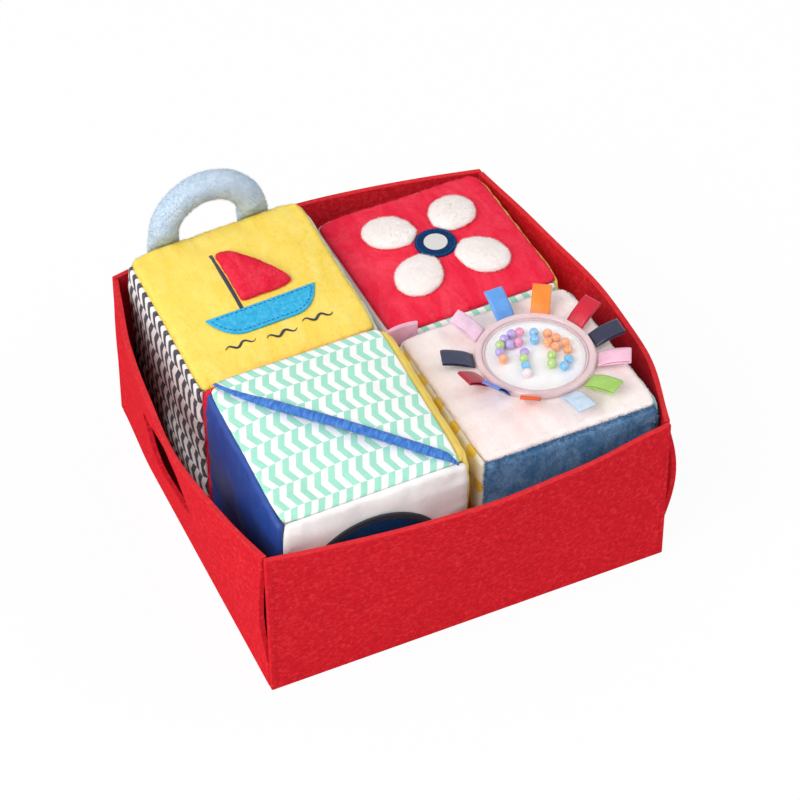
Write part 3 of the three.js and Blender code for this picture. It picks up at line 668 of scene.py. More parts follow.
def node(tree, kind, inputs=None, **settings):
    """A shader node with its settings, and with each input set to a value or linked to a socket."""
    made = tree.nodes.new("ShaderNode" + kind)
    for name, value in settings.items():
        setattr(made, name, value)
    for name, value in (inputs or {}).items():
        if isinstance(value, bpy.types.NodeSocket):
            tree.links.new(value, made.inputs[name])
        else:
            made.inputs[name].default_value = value
    return made


def maths(tree, operation, first, second=0.0, third=0.0):
    return node(tree, "Math", {0: first, 1: second, 2: third}, operation=operation).outputs[0]


def stretched(tree, place, scale):
    return node(tree, "Mapping", {"Vector": place, "Scale": scale}).outputs["Vector"]


def noise(tree, place, scale, detail=3.0, roughness=0.5, distortion=0.0):
    values = {"Vector": place, "Scale": scale, "Detail": detail, "Roughness": roughness}
    values["Distortion"] = distortion
    return node(tree, "TexNoise", values).outputs["Fac"]


def between(tree, value, low, high, out_low=0.0, out_high=1.0):
    values = {"Value": value, "From Min": low, "From Max": high, "To Min": out_low, "To Max": out_high}
    return node(tree, "MapRange", values).outputs["Result"]


def blended(tree, share, first, second):
    """Two colours mixed by a share."""
    mix = node(tree, "Mix", {0: share, 6: first, 7: second}, data_type="RGBA")
    return mix.outputs[2]


def bumped(tree, height, distance, strength=1.0, under=None):
    values = {"Height": height, "Distance": distance * MM, "Strength": strength}
    if under is not None:
        values["Normal"] = under
    return node(tree, "Bump", values).outputs["Normal"]


def darker(colour, share):
    """A colour with its red, green and blue brought down to a share."""
    return opaque(tuple(share * part for part in colour[:3]))


def object_place(tree):
    """The object's own coordinates, in millimetres."""
    return stretched(tree, node(tree, "TexCoord").outputs["Object"], (1 / MM, 1 / MM, 1 / MM))


def cloth_place(tree):
    """The place on the uncut cloth, in millimetres."""
    return node(tree, "UVMap", uv_map="cloth").outputs["UV"]


def threads(tree, place, pitch, way="X"):
    """Threads side by side: a sine wave of one pitch."""
    values = {"Vector": place, "Scale": WAVE_SCALE / pitch}
    return node(tree, "TexWave", values, bands_direction=way).outputs["Fac"]


# Looks: each gives the values of a principled shader

def needled_felt(tree, ground, fibres, streak=(0.8, 0.8, 0.8), cut_level=None):
    """Matted fibres: level streaks, clumps about two millimetres across and loose pale hairs. Just under a
    top level, the cut edge gets paler fibres together with a painted highlight, as one blend towards the
    fibres."""
    place = object_place(tree)
    streaks = noise(tree, stretched(tree, place, streak), 0.7, 5, 0.65, 0.8)
    clumps = noise(tree, place, 0.42, 3, 0.6, 0.6)
    hairs = noise(tree, stretched(tree, place, (0.5, 0.5, 2.4)), 1.6, 2, 0.5, 2.5)
    dark = darker(ground, 0.72)
    tone = blended(tree, between(tree, streaks, 0.32, 0.6), dark, ground)
    tone = blended(tree, between(tree, clumps, 0.3, 0.52, 0.5, 0), tone, dark)
    tone = blended(tree, between(tree, clumps, 0.5, 0.75, 0, 0.4), tone, fibres)
    tone = blended(tree, between(tree, hairs, 0.62, 0.8, 0, 0.5), tone, fibres)
    # Painted highlight: just under the top level, where light falls on the upward cut face, the felt is
    # blended towards the paler fibres.
    if cut_level:
        level = node(tree, "SeparateXYZ", {0: place}).outputs["Z"]
        tone = blended(tree, between(tree, level, cut_level - 0.8, cut_level, 0, 0.25), tone, fibres)
    relief = bumped(tree, streaks, 0.5, 0.6)
    relief = bumped(tree, clumps, 0.5, 0.5, relief)
    relief = bumped(tree, noise(tree, place, 2.6, 3, 0.7, 1.0), 0.22, 0.6, relief)
    return {
        "Base Color": tone,
        "Roughness": 1.0,
        "Specular IOR Level": 0.0,
        "Sheen Weight": 0.22,
        "Sheen Roughness": 0.35,
        "Sheen Tint": fibres,
        "Normal": relief,
    }


def plush(tree, ground, light, dark, nap=1.0, rough=1.0, glow=0.0, brush=(1, 0.3, 0.5)):
    """Short pile: fine tufts with painted shade in the hollows between them, and patches where the nap lies
    one way or the other that carry a painted sheen. A pale one glows a little.
    """
    place = object_place(tree)
    tufts = noise(tree, place, 1.15 / nap, 4, 0.62, 0.5)
    brushed_sheen = noise(tree, stretched(tree, place, (1, 0.45, 0.7)), 0.085, 4, 0.6, 1.2)
    lines = noise(tree, stretched(tree, place, brush), 0.5 / nap, 3, 0.6, 0.8)
    # Painted sheen: patches of the nap are blended towards the light colour.
    tone = blended(tree, between(tree, brushed_sheen, 0.38, 0.68), ground, light)
    tone = blended(tree, between(tree, lines, 0.5, 0.75, 0, 0.4 * rough), tone, dark)
    # Painted shade: the hollows between the tufts, where the bump is low, are blended towards the dark
    # colour.
    tone = blended(tree, between(tree, tufts, 0.33, 0.55, 0.42 * rough, 0), tone, dark)
    relief = bumped(tree, lines, 0.7 * nap, 0.35 * rough)
    relief = bumped(tree, tufts, 0.55 * nap, 0.6 * rough, relief)
    return {
        "Base Color": tone,
        "Roughness": 0.95,
        "Specular IOR Level": 0.1,
        "Subsurface Weight": glow,
        "Subsurface Radius": (1.5 * MM, 1.2 * MM, 1 * MM),
        "Sheen Weight": 0.12,
        "Sheen Roughness": 0.45,
        "Sheen Tint": light,
        "Normal": relief,
    }


def woven(tree, ground, ink=None, mask=None):
    """Plain weave: threads over and under in two ways, printed where the mask is one."""
    place, flat = object_place(tree), cloth_place(tree)
    weave = maths(tree, "ADD", threads(tree, flat, 0.42), threads(tree, flat, 0.42, "Y"))
    soil = noise(tree, place, 0.07, 4, 0.6)
    tone = blended(tree, between(tree, soil, 0.35, 0.7, 0, 0.5), ground, darker(ground, 0.9))
    if mask:
        a, b, _ = node(tree, "SeparateXYZ", {0: flat}).outputs
        slub = between(tree, noise(tree, stretched(tree, flat, (3, 0.5, 1)), 0.9, 2), 0.3, 0.7, 0.84, 1.0)
        tone = blended(tree, maths(tree, "MULTIPLY", mask(tree, a, b), slub), tone, ink)
    relief = bumped(tree, noise(tree, place, 0.13, 3, 0.55), 1.4, 0.4)
    relief = bumped(tree, weave, 0.07, 0.5, relief)
    return {
        "Base Color": tone,
        "Roughness": 0.85,
        "Specular IOR Level": 0.25,
        "Sheen Weight": 0.08,
        "Normal": relief,
    }


def herringbone(tree, a, b):
    """One inside the slanting stripes of a herringbone: the stripe's place is shifted by a triangle wave up
    the band and by half a pitch from band to band."""
    band = maths(tree, "DIVIDE", b, BAND)
    up = maths(tree, "ABSOLUTE", maths(tree, "MULTIPLY_ADD", maths(tree, "FRACT", band), 2.0, -1.0))
    shift = maths(tree, "MULTIPLY", maths(tree, "SUBTRACT", 1.0, up), CHEVRON_SHIFT)
    half = maths(tree, "MULTIPLY", maths(tree, "FLOOR", band), 0.5)
    across = maths(tree, "DIVIDE", maths(tree, "ADD", a, shift), STRIPE_PITCH)
    stripe = maths(tree, "FRACT", maths(tree, "ADD", across, half))
    inside = maths(tree, "SUBTRACT", 0.25, maths(tree, "ABSOLUTE", maths(tree, "SUBTRACT", stripe, 0.5)))
    return between(tree, inside, -0.02, 0.02)


def dots(tree, a, b):
    """One inside round dots in staggered rows."""
    level = maths(tree, "DIVIDE", maths(tree, "SUBTRACT", b, DOT_TOP_ROW), DOT_ROW_PITCH)
    row = maths(tree, "ROUND", level)
    column = maths(tree, "ADD", maths(tree, "DIVIDE", a, DOT_PITCH), maths(tree, "MULTIPLY", row, 0.5))
    off_column = maths(tree, "SUBTRACT", column, maths(tree, "ROUND", column))
    aside = maths(tree, "MULTIPLY", off_column, DOT_PITCH)
    above = maths(tree, "MULTIPLY", maths(tree, "SUBTRACT", level, row), DOT_ROW_PITCH)
    squares = maths(tree, "ADD", maths(tree, "POWER", aside, 2.0), maths(tree, "POWER", above, 2.0))
    away = maths(tree, "SQRT", squares)
    return between(tree, away, DOT_RADIUS + 0.3, DOT_RADIUS - 0.3)


def satin(tree, colour, roughness=0.34, rib=0.5, sheen=0.2):
    """Smooth threads that run one way, with a soft gloss and fine ribs across."""
    place = object_place(tree)
    drift = noise(tree, place, 0.16, 3, 0.55)
    tone = blended(tree, between(tree, drift, 0.35, 0.7, 0, 0.7), colour, darker(colour, 0.72))
    relief = bumped(tree, noise(tree, place, 0.2, 2), 0.8, 0.3)
    relief = bumped(tree, threads(tree, cloth_place(tree), rib), 0.05, 0.35, relief)
    return {
        "Base Color": tone,
        "Roughness": roughness,
        "Specular IOR Level": 0.5,
        "Sheen Weight": sheen,
        "Sheen Roughness": 0.3,
        "Normal": relief,
    }


def stitched_thread(tree, colour):
    """Embroidery: close threads that run across the line, seen as fine ribs along it, with painted shade in
    the grooves between them.
    """
    ribs = threads(tree, cloth_place(tree), 0.45)
    return {
        # Painted shade: the grooves between the ribs are darker.
        "Base Color": blended(tree, between(tree, ribs, 0.2, 0.8), darker(colour, 0.6), colour),
        "Roughness": 0.5,
        "Specular IOR Level": 0.4,
        "Sheen Weight": 0.2,
        "Normal": bumped(tree, ribs, 0.16, 0.8),
    }


def plain_thread(tree, colour):
    """Sewing thread: a twist too fine to see as more than a soft gloss."""
    twist = noise(tree, object_place(tree), 2.5, 2)
    tone = blended(tree, twist, darker(colour, 0.75), colour)
    return {"Base Color": tone, "Roughness": 0.8, "Specular IOR Level": 0.15}


def rolled_cotton(tree, colour, light):
    """Bias-cut cotton, rolled: gathers across the roll, with a painted highlight on their ridges."""
    gathers = noise(tree, stretched(tree, cloth_place(tree), (1, 0.25, 1)), 0.75, 4, 0.6, 0.7)
    return {
        # Painted highlight: the raised ridges of the gathers are blended towards the light colour.
        "Base Color": blended(tree, between(tree, gathers, 0.4, 0.7), colour, light),
        "Roughness": 0.75,
        "Specular IOR Level": 0.25,
        "Sheen Weight": 0.15,
        "Normal": bumped(tree, gathers, 0.5, 0.6),
    }


def open_foam(tree, colour):
    """Open-cell foam: round pores over the whole surface, with painted shade in them."""
    pores = node(tree, "TexVoronoi", {"Vector": object_place(tree), "Scale": 0.9}).outputs["Distance"]
    return {
        # Painted shade: the pores, where the bump is low, are darker.
        "Base Color": blended(tree, between(tree, pores, 0.1, 0.5), darker(colour, 0.6), colour),
        "Roughness": 1.0,
        "Normal": bumped(tree, pores, 0.6, 0.8),
    }


def tinted_plastic(tree, colour, clear):
    """Moulded translucent plastic: more solid where it is seen edge on, with faint flow marks."""
    edge = node(tree, "LayerWeight", {"Blend": 0.35}).outputs["Facing"]
    flow = noise(tree, object_place(tree), 0.12, 2)
    return {
        "Base Color": blended(tree, between(tree, flow, 0.35, 0.7, 0, 0.6), colour, darker(colour, 0.82)),
        "Roughness": 0.14,
        "IOR": 1.5,
        "Coat Weight": 0.6,
        "Coat Roughness": 0.06,
        "Alpha": between(tree, edge, 0.0, 1.0, clear, 0.97),
        "Normal": bumped(tree, flow, 0.3, 0.2),
    }


def clear_plastic(tree, tint):
    """A clear dome: nearly nothing face on, and a milky gloss where it curves away."""
    edge = node(tree, "LayerWeight", {"Blend": 0.4}).outputs["Facing"]
    return {
        "Base Color": blended(tree, noise(tree, object_place(tree), 0.1, 2), tint, WHITE),
        "Roughness": 0.05,
        "IOR": 1.5,
        "Specular IOR Level": 0.8,
        "Coat Weight": 1.0,
        "Coat Roughness": 0.03,
        "Alpha": between(tree, maths(tree, "POWER", edge, 3.2), 0.0, 1.0, 0.03, 0.62),
    }


def pearly_plastic(tree, shade):
    """White with a soft pearly gloss and clouds of a shade."""
    mist = noise(tree, object_place(tree), 0.08, 3)
    return {
        "Base Color": blended(tree, between(tree, mist, 0.35, 0.7), WHITE, shade),
        "Roughness": 0.35,
        "Coat Weight": 0.5,
        "Coat Roughness": 0.1,
        "Normal": bumped(tree, mist, 0.3, 0.2),
    }


def glossy_beads(tree):
    """Pastel beads, each in the colour that its points carry, with paler clouds."""
    own = node(tree, "Attribute", attribute_name="bead_colour").outputs["Color"]
    cloud = noise(tree, object_place(tree), 0.4, 2)
    return {
        "Base Color": blended(tree, between(tree, cloud, 0.3, 0.8, 0, 0.3), own, WHITE),
        "Roughness": 0.16,
        "Subsurface Weight": 0.25,
        "Subsurface Radius": (1 * MM, 1 * MM, 1 * MM),
        "Coat Weight": 0.6,
        "Coat Roughness": 0.05,
    }


def look(maker, *colours, **settings):
    return maker, colours, settings


# Every look. A colour is hexadecimal, or the name of one that the user can change.
LOOKS = {
    # The tray felt has a painted highlight along its walls' top edge.
    "tray_felt": look(needled_felt, "felt", "felt_light", streak=(0.35, 0.35, 1.3), cut_level=WALL_HEIGHT),
    "turquoise_felt": look(needled_felt, "#3fb9ea", "#7fd6f4"),
    "navy_felt": look(needled_felt, "#1c3a66", "#345a8c"),
    "foam": look(open_foam, "#f2ecd8"),
    # For each plush: its ground, its light colour for the painted sheen, and its dark colour for streaks and
    # the painted shade between tufts.
    "yellow_plush": look(plush, "yellow", "#fde67e", "#f8da5e"),
    "red_plush": look(plush, "red", "#f9485e", "#dc1c38"),
    "pale_pink_plush": look(plush, "pale_pink", "#fff8f6", "#fce5e2"),
    "denim_blue_plush": look(plush, "denim", "#8bb2d6", "#2a507c", nap=1.5, brush=(1, 1, 0.22)),
    "light_blue_plush": look(plush, "#c6d9ea", "#d6e5f2", "#b3cade", nap=1.6, rough=0.6, glow=0.25),
    "petal_plush": look(plush, "#fff4f0", "#fffaf8", "#fde6e2", nap=1.5, rough=0.5, glow=0.3),
    "navy_herringbone_cotton": look(woven, "#f3f0ee", "navy", mask=herringbone),
    "mint_herringbone_cotton": look(woven, "#fbfbfa", "mint", mask=herringbone),
    "dotted_cotton": look(woven, "#fbf6ea", "dots", mask=dots),
    "royal_blue_satin": look(satin, "#1e489c", roughness=0.5, rib=0.7, sheen=0.04),
    # The binding's second colour is the painted highlight on its gathers.
    "blue_binding": look(rolled_cotton, "#2863b6", "#5b92d8"),
    "tray_thread": look(plain_thread, "thread"),
    "blue_thread": look(plain_thread, "#1c6fb4"),
    "navy_thread": look(stitched_thread, "#20264a"),
    "ink_thread": look(stitched_thread, "#0d1122"),
    "white_thread": look(stitched_thread, "#fbf7f4"),
    "rattle_case_plastic": look(tinted_plastic, "#fde1e5", clear=0.62),
    "rattle_dome_plastic": look(clear_plastic, "#f3ecf4"),
    "rattle_floor": look(pearly_plastic, "#f8f4f7"),
    "bead_plastic": look(glossy_beads),
}
PLAIN_COTTONS = {
    "white": "#fbf8f8",
    "yellow": "#fcdc6c",
    "pale_green": "#cfe6d6",
    "blush": "#f6e3e4",
    "aqua": "#8fc7c9",
    "cream": "#f2ead0",
}
PLAIN_SATINS = {
    "pink": "#fac3da",
    "lilac": "#f9d3ea",
    "sky_blue": "#5f9fe8",
    "orange": "#fd8d2e",
    "crimson": "#d0042e",
    "navy": "#232544",
    "green": "#a6d263",
    "ice_blue": "#cfe1f5",
    "orange_red": "#ec5a2a",
    "violet_blue": "#6f7fd6",
    "dark_red": "#b3122f",
    "ink_blue": "#2b2f4f",
}
LOOKS |= {colour + "_cotton": look(woven, code) for colour, code in PLAIN_COTTONS.items()}
LOOKS |= {colour + "_satin": look(satin, code) for colour, code in PLAIN_SATINS.items()}


def tray_looks():
    return bpy.context.scene.soft_blocks_tray


def cover_looks():
    return bpy.context.scene.soft_blocks_covers


def chosen(colour):
    """A hexadecimal colour, or the user's own of that name."""
    if colour.startswith("#"):
        return opaque(colour)
    looks = next(group for group in (tray_looks(), cover_looks()) if hasattr(group, colour))
    return opaque(getattr(looks, colour))


def finish(name):
    """The material of a look, made the first time it is asked for."""
    material = bpy.data.materials.get(name + OWN)
    if not material:
        material = bpy.data.materials.new(name + OWN)
        tree = cleared(material)
        maker, colours, settings = LOOKS[name]
        values = maker(tree, *[chosen(colour) for colour in colours], **settings)
        shader = node(tree, "BsdfPrincipled", values)
        node(tree, "OutputMaterial", {"Surface": shader.outputs[0]})
    return material


# The padded block

def block_middle(name):
    """A block's middle: its foam core is centred on it, and it stands just off the tray's base."""
    low, high = node_box(name + "_foam_core")
    height = BLOCKS[name]["size"][2]
    return np.array([(low[0] + high[0]) / 2, (low[1] + high[1]) / 2, FELT + CLEARANCE + height / 2])


def in_frame(name, points):
    """A block's own points turned and moved to where the block stands."""
    return points @ spun(math.radians(BLOCKS[name]["yaw"])) + block_middle(name)


def stood(name, shape):
    """A shape in a block's own coordinates, turned and moved to where the block stands."""
    points, faces = shape
    return in_frame(name, points), faces


def lean_lift(name, units):
    """How far the block's lean lifts a point of the unit cube: not at the foot, and fully at the top."""
    right, back = BLOCKS[name]["lean"]
    return (units[..., 0] * right + units[..., 1] * back) * (1 + units[..., 2]) / 2


def on_block(name, units, inset=0.0):
    """A point of the unit cube's surface on the block. The box's edges are rounded by drawing each point to
    the same distance from a smaller box. Each face is crowned as the product of two parabolas, each seam is
    drawn in between its corners, the corners are pulled in, and the top leans."""
    block = BLOCKS[name]
    half = np.array(block["size"]) / 2 - inset
    rounding = max(cover_looks().rounding / MM - inset, 1)
    flat = units * half
    inner = np.clip(flat, rounding - half, half - rounding)
    soft = inner + rounding * unit(flat - inner)
    p, q = np.roll(units, -1, -1), np.roll(units, -2, -1)
    sides = np.full(units.shape[:-1], SIDE_CROWN)
    crowns = np.stack([sides, sides, np.where(units[..., 2] > 0, block["crown"], 0)], -1)
    crown = crowns * (1 - p * p) * (1 - q * q)
    draw = SEAM_DRAW * (p ** 4 * (1 - q * q) + q ** 4 * (1 - p * p))
    corner = CORNER_PULL * np.abs(units.prod(-1, keepdims=True)) ** CORNER_SHARPNESS
    place = soft + units * (crown - draw - corner)
    place[..., 2] += lean_lift(name, units)
    return place


def unit_points(face, u, v):
    """A face's own coordinates on the unit cube. Past 1 they fold over the edge on to the next face."""
    out, right, up = (np.array(way, float) for way in FACES[face])
    over = np.maximum(np.abs(u) - 1, 0) + np.maximum(np.abs(v) - 1, 0)
    u, v = np.clip(u, -1, 1), np.clip(v, -1, 1)
    return (1 - over)[..., None] * out + u[..., None] * right + v[..., None] * up


def face_halves(name, face):
    """Half of a face's size along its own two axes."""
    size = np.array(BLOCKS[name]["size"]) / 2
    return tuple(abs(size @ np.array(FACES[face][axis])) for axis in (1, 2))


def on_face(name, face, a, b, lift):
    """A point a to the right and b up from the middle of a face, lifted off the crowned cover."""
    half_a, half_b = face_halves(name, face)
    a, b = np.broadcast_arrays(np.asarray(a, float), np.asarray(b, float))
    if face not in ("top", "bottom"):
        b = b - lean_lift(name, unit_points(face, a / half_a, b / half_b))
    step = 0.5
    here, right, up = (
        on_block(name, unit_points(face, (a + x) / half_a, (b + y) / half_b))
        for x, y in ((0, 0), (step, 0), (0, step))
    )
    out = unit(np.cross(right - here, up - here))
    return here + out * np.asarray(lift, float)[..., None]


def cloth_kind(cloth):
    return next(kind for kind in FOLDS if cloth.endswith(kind))


def cover_grid(name, face):
    """A cover panel's outer skin with its folds, the puckers that run in from its seams, and the groove in
    which it meets the next panel. Also each point's place on the flat cloth, and the skin's normals."""
    cloth = BLOCKS[name]["cloths"][face]
    fold, pitch, pucker = FOLDS[cloth_kind(cloth)]
    half_a, half_b = face_halves(name, face)
    shifts = SEAM_SHIFTS.get((name, face), {})
    right, top = 1 + shifts.get("right", 0) / half_a, 1 + shifts.get("up", 0) / half_b
    steps = TOP_STEPS if face == "top" else COVER_STEPS
    u, v = np.meshgrid(crowded(steps, -1, right), crowded(steps, -1, top))
    points = on_block(name, unit_points(face, u, v))
    out = grid_normals(points)
    a, b = u * half_a, v * half_b
    seed = sorted(BLOCKS).index(name) * len(FACES) + list(FACES).index(face)
    lift = fold * ripple(a, b, seed, pitch) * smooth((1 - np.abs(u)) * 4) * smooth((1 - np.abs(v)) * 4)
    sides = ((a + half_a, b), (right * half_a - a, b), (b + half_b, a), (top * half_b - b, a))
    for number, (away, along) in enumerate(sides):
        wave = ripple(along, along * 0 + number * 50, seed + 100, PUCKER_PITCH * 1.5, 4)
        lift = lift + pucker * wave * away / PUCKER_REACH * np.exp(1 - away / PUCKER_REACH)
        lift = lift - SEAM_GROOVE * np.exp(-((away / SEAM_GROOVE_WIDTH) ** 2))
    points = points + out * lift[..., None]
    return points, np.stack([a, b], -1), out


def twice(flat):
    """The flat places of a sheet's two skins."""
    flat = flat.reshape(-1, 2)
    return np.concatenate([flat, flat])


def cube_skin(name, steps, inset):
    """The whole block's surface at one inset, as six grids welded along their edges."""
    points, faces, first = [], [], 0
    u, v = np.meshgrid(spread(steps), spread(steps))
    for face in FACES:
        points.append(unit_points(face, u, v).reshape(-1, 3))
        faces.append(quads(steps, steps, first))
        first += steps * steps
    whole = np.concatenate(points)
    _, kept, index = np.unique(np.round(whole, 6), axis=0, return_index=True, return_inverse=True)
    return on_block(name, whole[kept], inset), [index.reshape(-1)[part] for part in faces]


def make_cores():
    """The foam cores, each a little smaller than its cover."""
    for name in BLOCKS:
        shape = stood(name, cube_skin(name, CORE_STEPS, CORE_INSET))
        core = add_piece(name + "_foam", name, shape, "foam", name + "_foam_core")


def fringe(outer, length, width, seed):
    """Longer fibres along a panel's four seams."""
    reach = len(outer) // 9
    strips = (outer[:reach], outer[-reach:], outer[:, :reach], outer[:, -reach:])
    return joined([
        pile(strip, FIBRES["seam"], length, width, (0, 0, 0.3), seed + 10 * side)
        for side, strip in enumerate(strips)
    ])


def make_covers():
    """Six cover panels for each block. The plush ones also carry their pile, thickest at their edges."""
    for name, block in BLOCKS.items():
        for number, (face, cloth) in enumerate(block["cloths"].items()):
            outer, flat, out = cover_grid(name, face)
            shape = stood(name, shell(outer, outer - out * COVER_THICKNESS))
            part = f"{name}_{face}"
            panel = add_piece(part + "_cover", name, shape, cloth, part + "_panel", twice(flat))
            if cloth_kind(cloth) == "plush":
                share = DENIM_SHARE if cloth == "denim_blue_plush" else 1
                length, width = cover_looks().pile / MM * share, FIBRE_THICKNESS * share
                fibres = joined([
                    pile(outer, FIBRES[face], length, width, (0, -0.3, 0.1), number),
                    fringe(outer, length * SEAM_FIBRE_SHARE, width, number + 50),
                ])
                add_piece(part + "_pile", name, stood(name, fibres), cloth)


# The tray

def side_wall_out(along, z, end, gapes, slot):
    """What a side wall adds: the gape of its two ends, and the sag round its hand slot."""
    near = np.clip(1 - (end - np.abs(along)) / GAPE_REACH, 0, 1)
    rise = np.clip((z - GAPE_LOW) / (GAPE_HIGH - GAPE_LOW), 0, 1)
    gape = np.where(along < 0, *gapes) * near ** 2 * np.sin(np.pi * rise)
    over = np.clip((along - slot) / SLOT_SAG_REACH, -1, 1)
    off = (z - SLOT_LEVEL) / SLOT_HEIGHT
    return gape - 2 * SLOT_SAG * off * np.exp(-off * off) * np.cos(np.pi / 2 * over) ** 2


def wall_out(along, z, bow, foot, reach, seed, shift=0.0, **side_wall):
    """How far a wall's outside stands out: its foot, a lean that grows with height and is a cosine along
    the wall, what a side wall adds, and the felt's wobble. A shift moves the widest place."""
    share = along / reach
    shifted = share + shift * (1 - share * share)
    out = foot + bow * np.cos(np.pi / 2 * shifted) * z / WALL_HEIGHT
    if side_wall:
        out = out + side_wall_out(along, z, **side_wall)
    held = smooth(z / STILL_FOOT) * smooth((reach - np.abs(along)) / STILL_END)
    return out + FELT_WOBBLE * held * ripple(along, z, seed, FELT_WAVE)


def tucked(points):
    """The tray's points with its back left and front right corners drawn in across the tray."""
    x, y, z = np.moveaxis(points, -1, 0)
    across, back, level = 2 * x / TRAY_WIDTH, 2 * y / TRAY_DEPTH, z / WALL_HEIGHT
    back_left = BACK_LEFT_TUCK[0] + (BACK_LEFT_TUCK[1] - BACK_LEFT_TUCK[0]) * level
    front_right = FRONT_RIGHT_TUCK[0] + (FRONT_RIGHT_TUCK[1] - FRONT_RIGHT_TUCK[0]) * level
    at_back, at_front = smooth(2 * back - 1), smooth(-2 * back - 1)
    drawn = back_left * smooth(-across) * at_back - front_right * smooth(across) * at_front
    return points + drawn[..., None] * (1, 0, 0)


def around_tray(points, quarter_turns):
    """Points of a wall that looks out along -Y, turned round the tray."""
    return tucked(points @ spun(quarter_turns * math.pi / 2)) + np.array([*TRAY_MIDDLE, 0])


def wall_grids(along, z, **lean):
    out = wall_out(along, z, **lean)
    return [np.stack([along, -(out - depth), z], -1) for depth in (0, FELT)]


def slot_radius(turn):
    """How far the hand slot's rim lies from its middle in a given direction: a flat side or a round end."""
    round_end = SLOT_HEIGHT / 2
    half = SLOT_LENGTH / 2 - round_end
    c, s = np.abs(np.cos(turn)), np.abs(np.sin(turn))
    flat = round_end / np.maximum(s, 1e-9)
    end = half * c + np.sqrt(np.maximum((half * c) ** 2 - half ** 2 + round_end ** 2, 0))
    return np.where(flat * c <= half, flat, end)


def slotted_grid(end, middle):
    """A wall's places with a hand slot in it: rays about the slot, from the wall's edge in to the rim."""
    sides = ((end - middle, 0), (-end - middle, 0))
    heights = (WALL_HEIGHT - SLOT_LEVEL, -SLOT_LEVEL)
    corners = [math.atan2(h, side[0]) for side in sides for h in heights]
    turns, rings = SLOTTED_WALL_STEPS
    turn = np.unique(np.concatenate([spread(turns + 1, -np.pi, np.pi)[:-1], corners]))
    c, s = np.cos(turn), np.sin(turn)
    to_side = np.where(c > 0, sides[0][0], sides[1][0]) / np.where(np.abs(c) < 1e-9, 1e-9, c)
    to_top = np.where(s > 0, heights[0], heights[1]) / np.where(np.abs(s) < 1e-9, 1e-9, s)
    edge = np.minimum(np.abs(to_side), np.abs(to_top))
    share = spread(rings, 0, 1)[:, None]
    radius = edge + (slot_radius(turn) - edge) * share
    return middle + radius * c, SLOT_LEVEL + radius * s


# The walls without a slot: how far each bows and its quarter turns round the tray, and what they share
END_WALLS = {"front": (FRONT_BOW, 0), "back": (BACK_BOW, 2)}
END_WALL = {"reach": TRAY_WIDTH / 2, "foot": TRAY_DEPTH / 2}


def add_wall(side, grids, turns, slotted=False):
    """A felt wall between two grids that look out along -Y, on its own side of the tray."""
    shape = shell(*[around_tray(grid, turns) for grid in grids], slotted)
    wall = add_piece(
        f"felt_{side}_wall", "tray", shape, "tray_felt", f"tray_{side}_wall", bevel=tray_looks().soft_edge
    )


def make_tray():
    """The base, four walls of thick felt, and the stitches down the corners."""
    half_x, half_y = (BASE_HIGH - BASE_LOW)[:2] / 2
    x, y = np.meshgrid(spread(BASE_STEPS, -half_x, half_x), spread(BASE_STEPS, -half_y, half_y))
    top = np.stack([x, y, np.full_like(x, FELT)], -1)
    shape = shell(top + [*TRAY_MIDDLE, 0], top * (1, 1, 0) + [*TRAY_MIDDLE, 0])
    base = add_piece("felt_base", "tray", shape, "tray_felt", "tray_base", bevel=tray_looks().soft_edge)
    end = TRAY_WIDTH / 2
    along, z = np.meshgrid(spread(WALL_STEPS[0], -end, end), spread(WALL_STEPS[1], 0, WALL_HEIGHT))
    for side, (bow, turns) in END_WALLS.items():
        add_wall(side, wall_grids(along, z, bow=bow, seed=turns, **END_WALL), turns)
    end = TRAY_DEPTH / 2 - FELT - CLEARANCE
    for side, bow, turns, backwards, gapes in (
        ("right", RIGHT_BOW, 1, 1, RIGHT_GAPES), ("left", LEFT_BOW, 3, -1, LEFT_GAPES[::-1])
    ):
        slot = backwards * SLOT_SET_BACK
        lean = {"bow": bow, "foot": TRAY_WIDTH / 2, "reach": TRAY_DEPTH / 2, "seed": turns}
        lean |= {"shift": backwards * SIDE_BOW_FORWARD_SHARE, "end": end, "gapes": gapes, "slot": slot}
        add_wall(side, wall_grids(*slotted_grid(end, slot), **lean), turns, True)
    make_tray_stitches()


def make_tray_stitches():
    """A row of stitches near each end of the front and back walls, on the outside."""
    rows = []
    z = spread(60, 2, WALL_HEIGHT - 2)
    for bow, turns in END_WALLS.values():
        for side in (-1, 1):
            along = np.full_like(z, side * (TRAY_WIDTH / 2 - STITCH_INSET))
            out = wall_out(along, z, bow, seed=turns, **END_WALL)
            path = around_tray(np.stack([along, -out, z], -1), turns)
            away = (0, 1 if turns else -1, 0)
            rows.append(stitches(path, away, STITCH_PITCH, STITCH_LENGTH, STITCH_THREAD))
    add_piece("tray_corner_stitches", "tray", joined(rows), "tray_thread")


# Pieces laid on a block

def circle(count, radius=1.0):
    turn = 2 * np.pi * np.arange(count) / count
    return radius * np.stack([np.cos(turn), np.sin(turn)], -1)


def curve(*points, count=16):
    """A Bezier curve over two, three or four points, without its last point."""
    t = np.arange(count)[:, None] / count
    level = [np.asarray(point, float) for point in points]
    while len(level) > 1:
        level = [first * (1 - t) + second * t for first, second in zip(level, level[1:])]
    return level[0]


def hull_outline():
    """A level deck with raised ends over a round bottom."""
    half, deep = HULL_LENGTH / 2, HULL_DEPTH / 2
    return np.concatenate([
        curve((-half, deep), (-0.8 * half, -deep), (-0.4 * half, -deep)),
        curve((-0.4 * half, -deep), (0.4 * half, -deep), count=14),
        curve((0.4 * half, -deep), (0.8 * half, -deep), (half, deep)),
        curve((half, deep), (0, 0.6 * deep), (-half, deep), count=30),
    ])


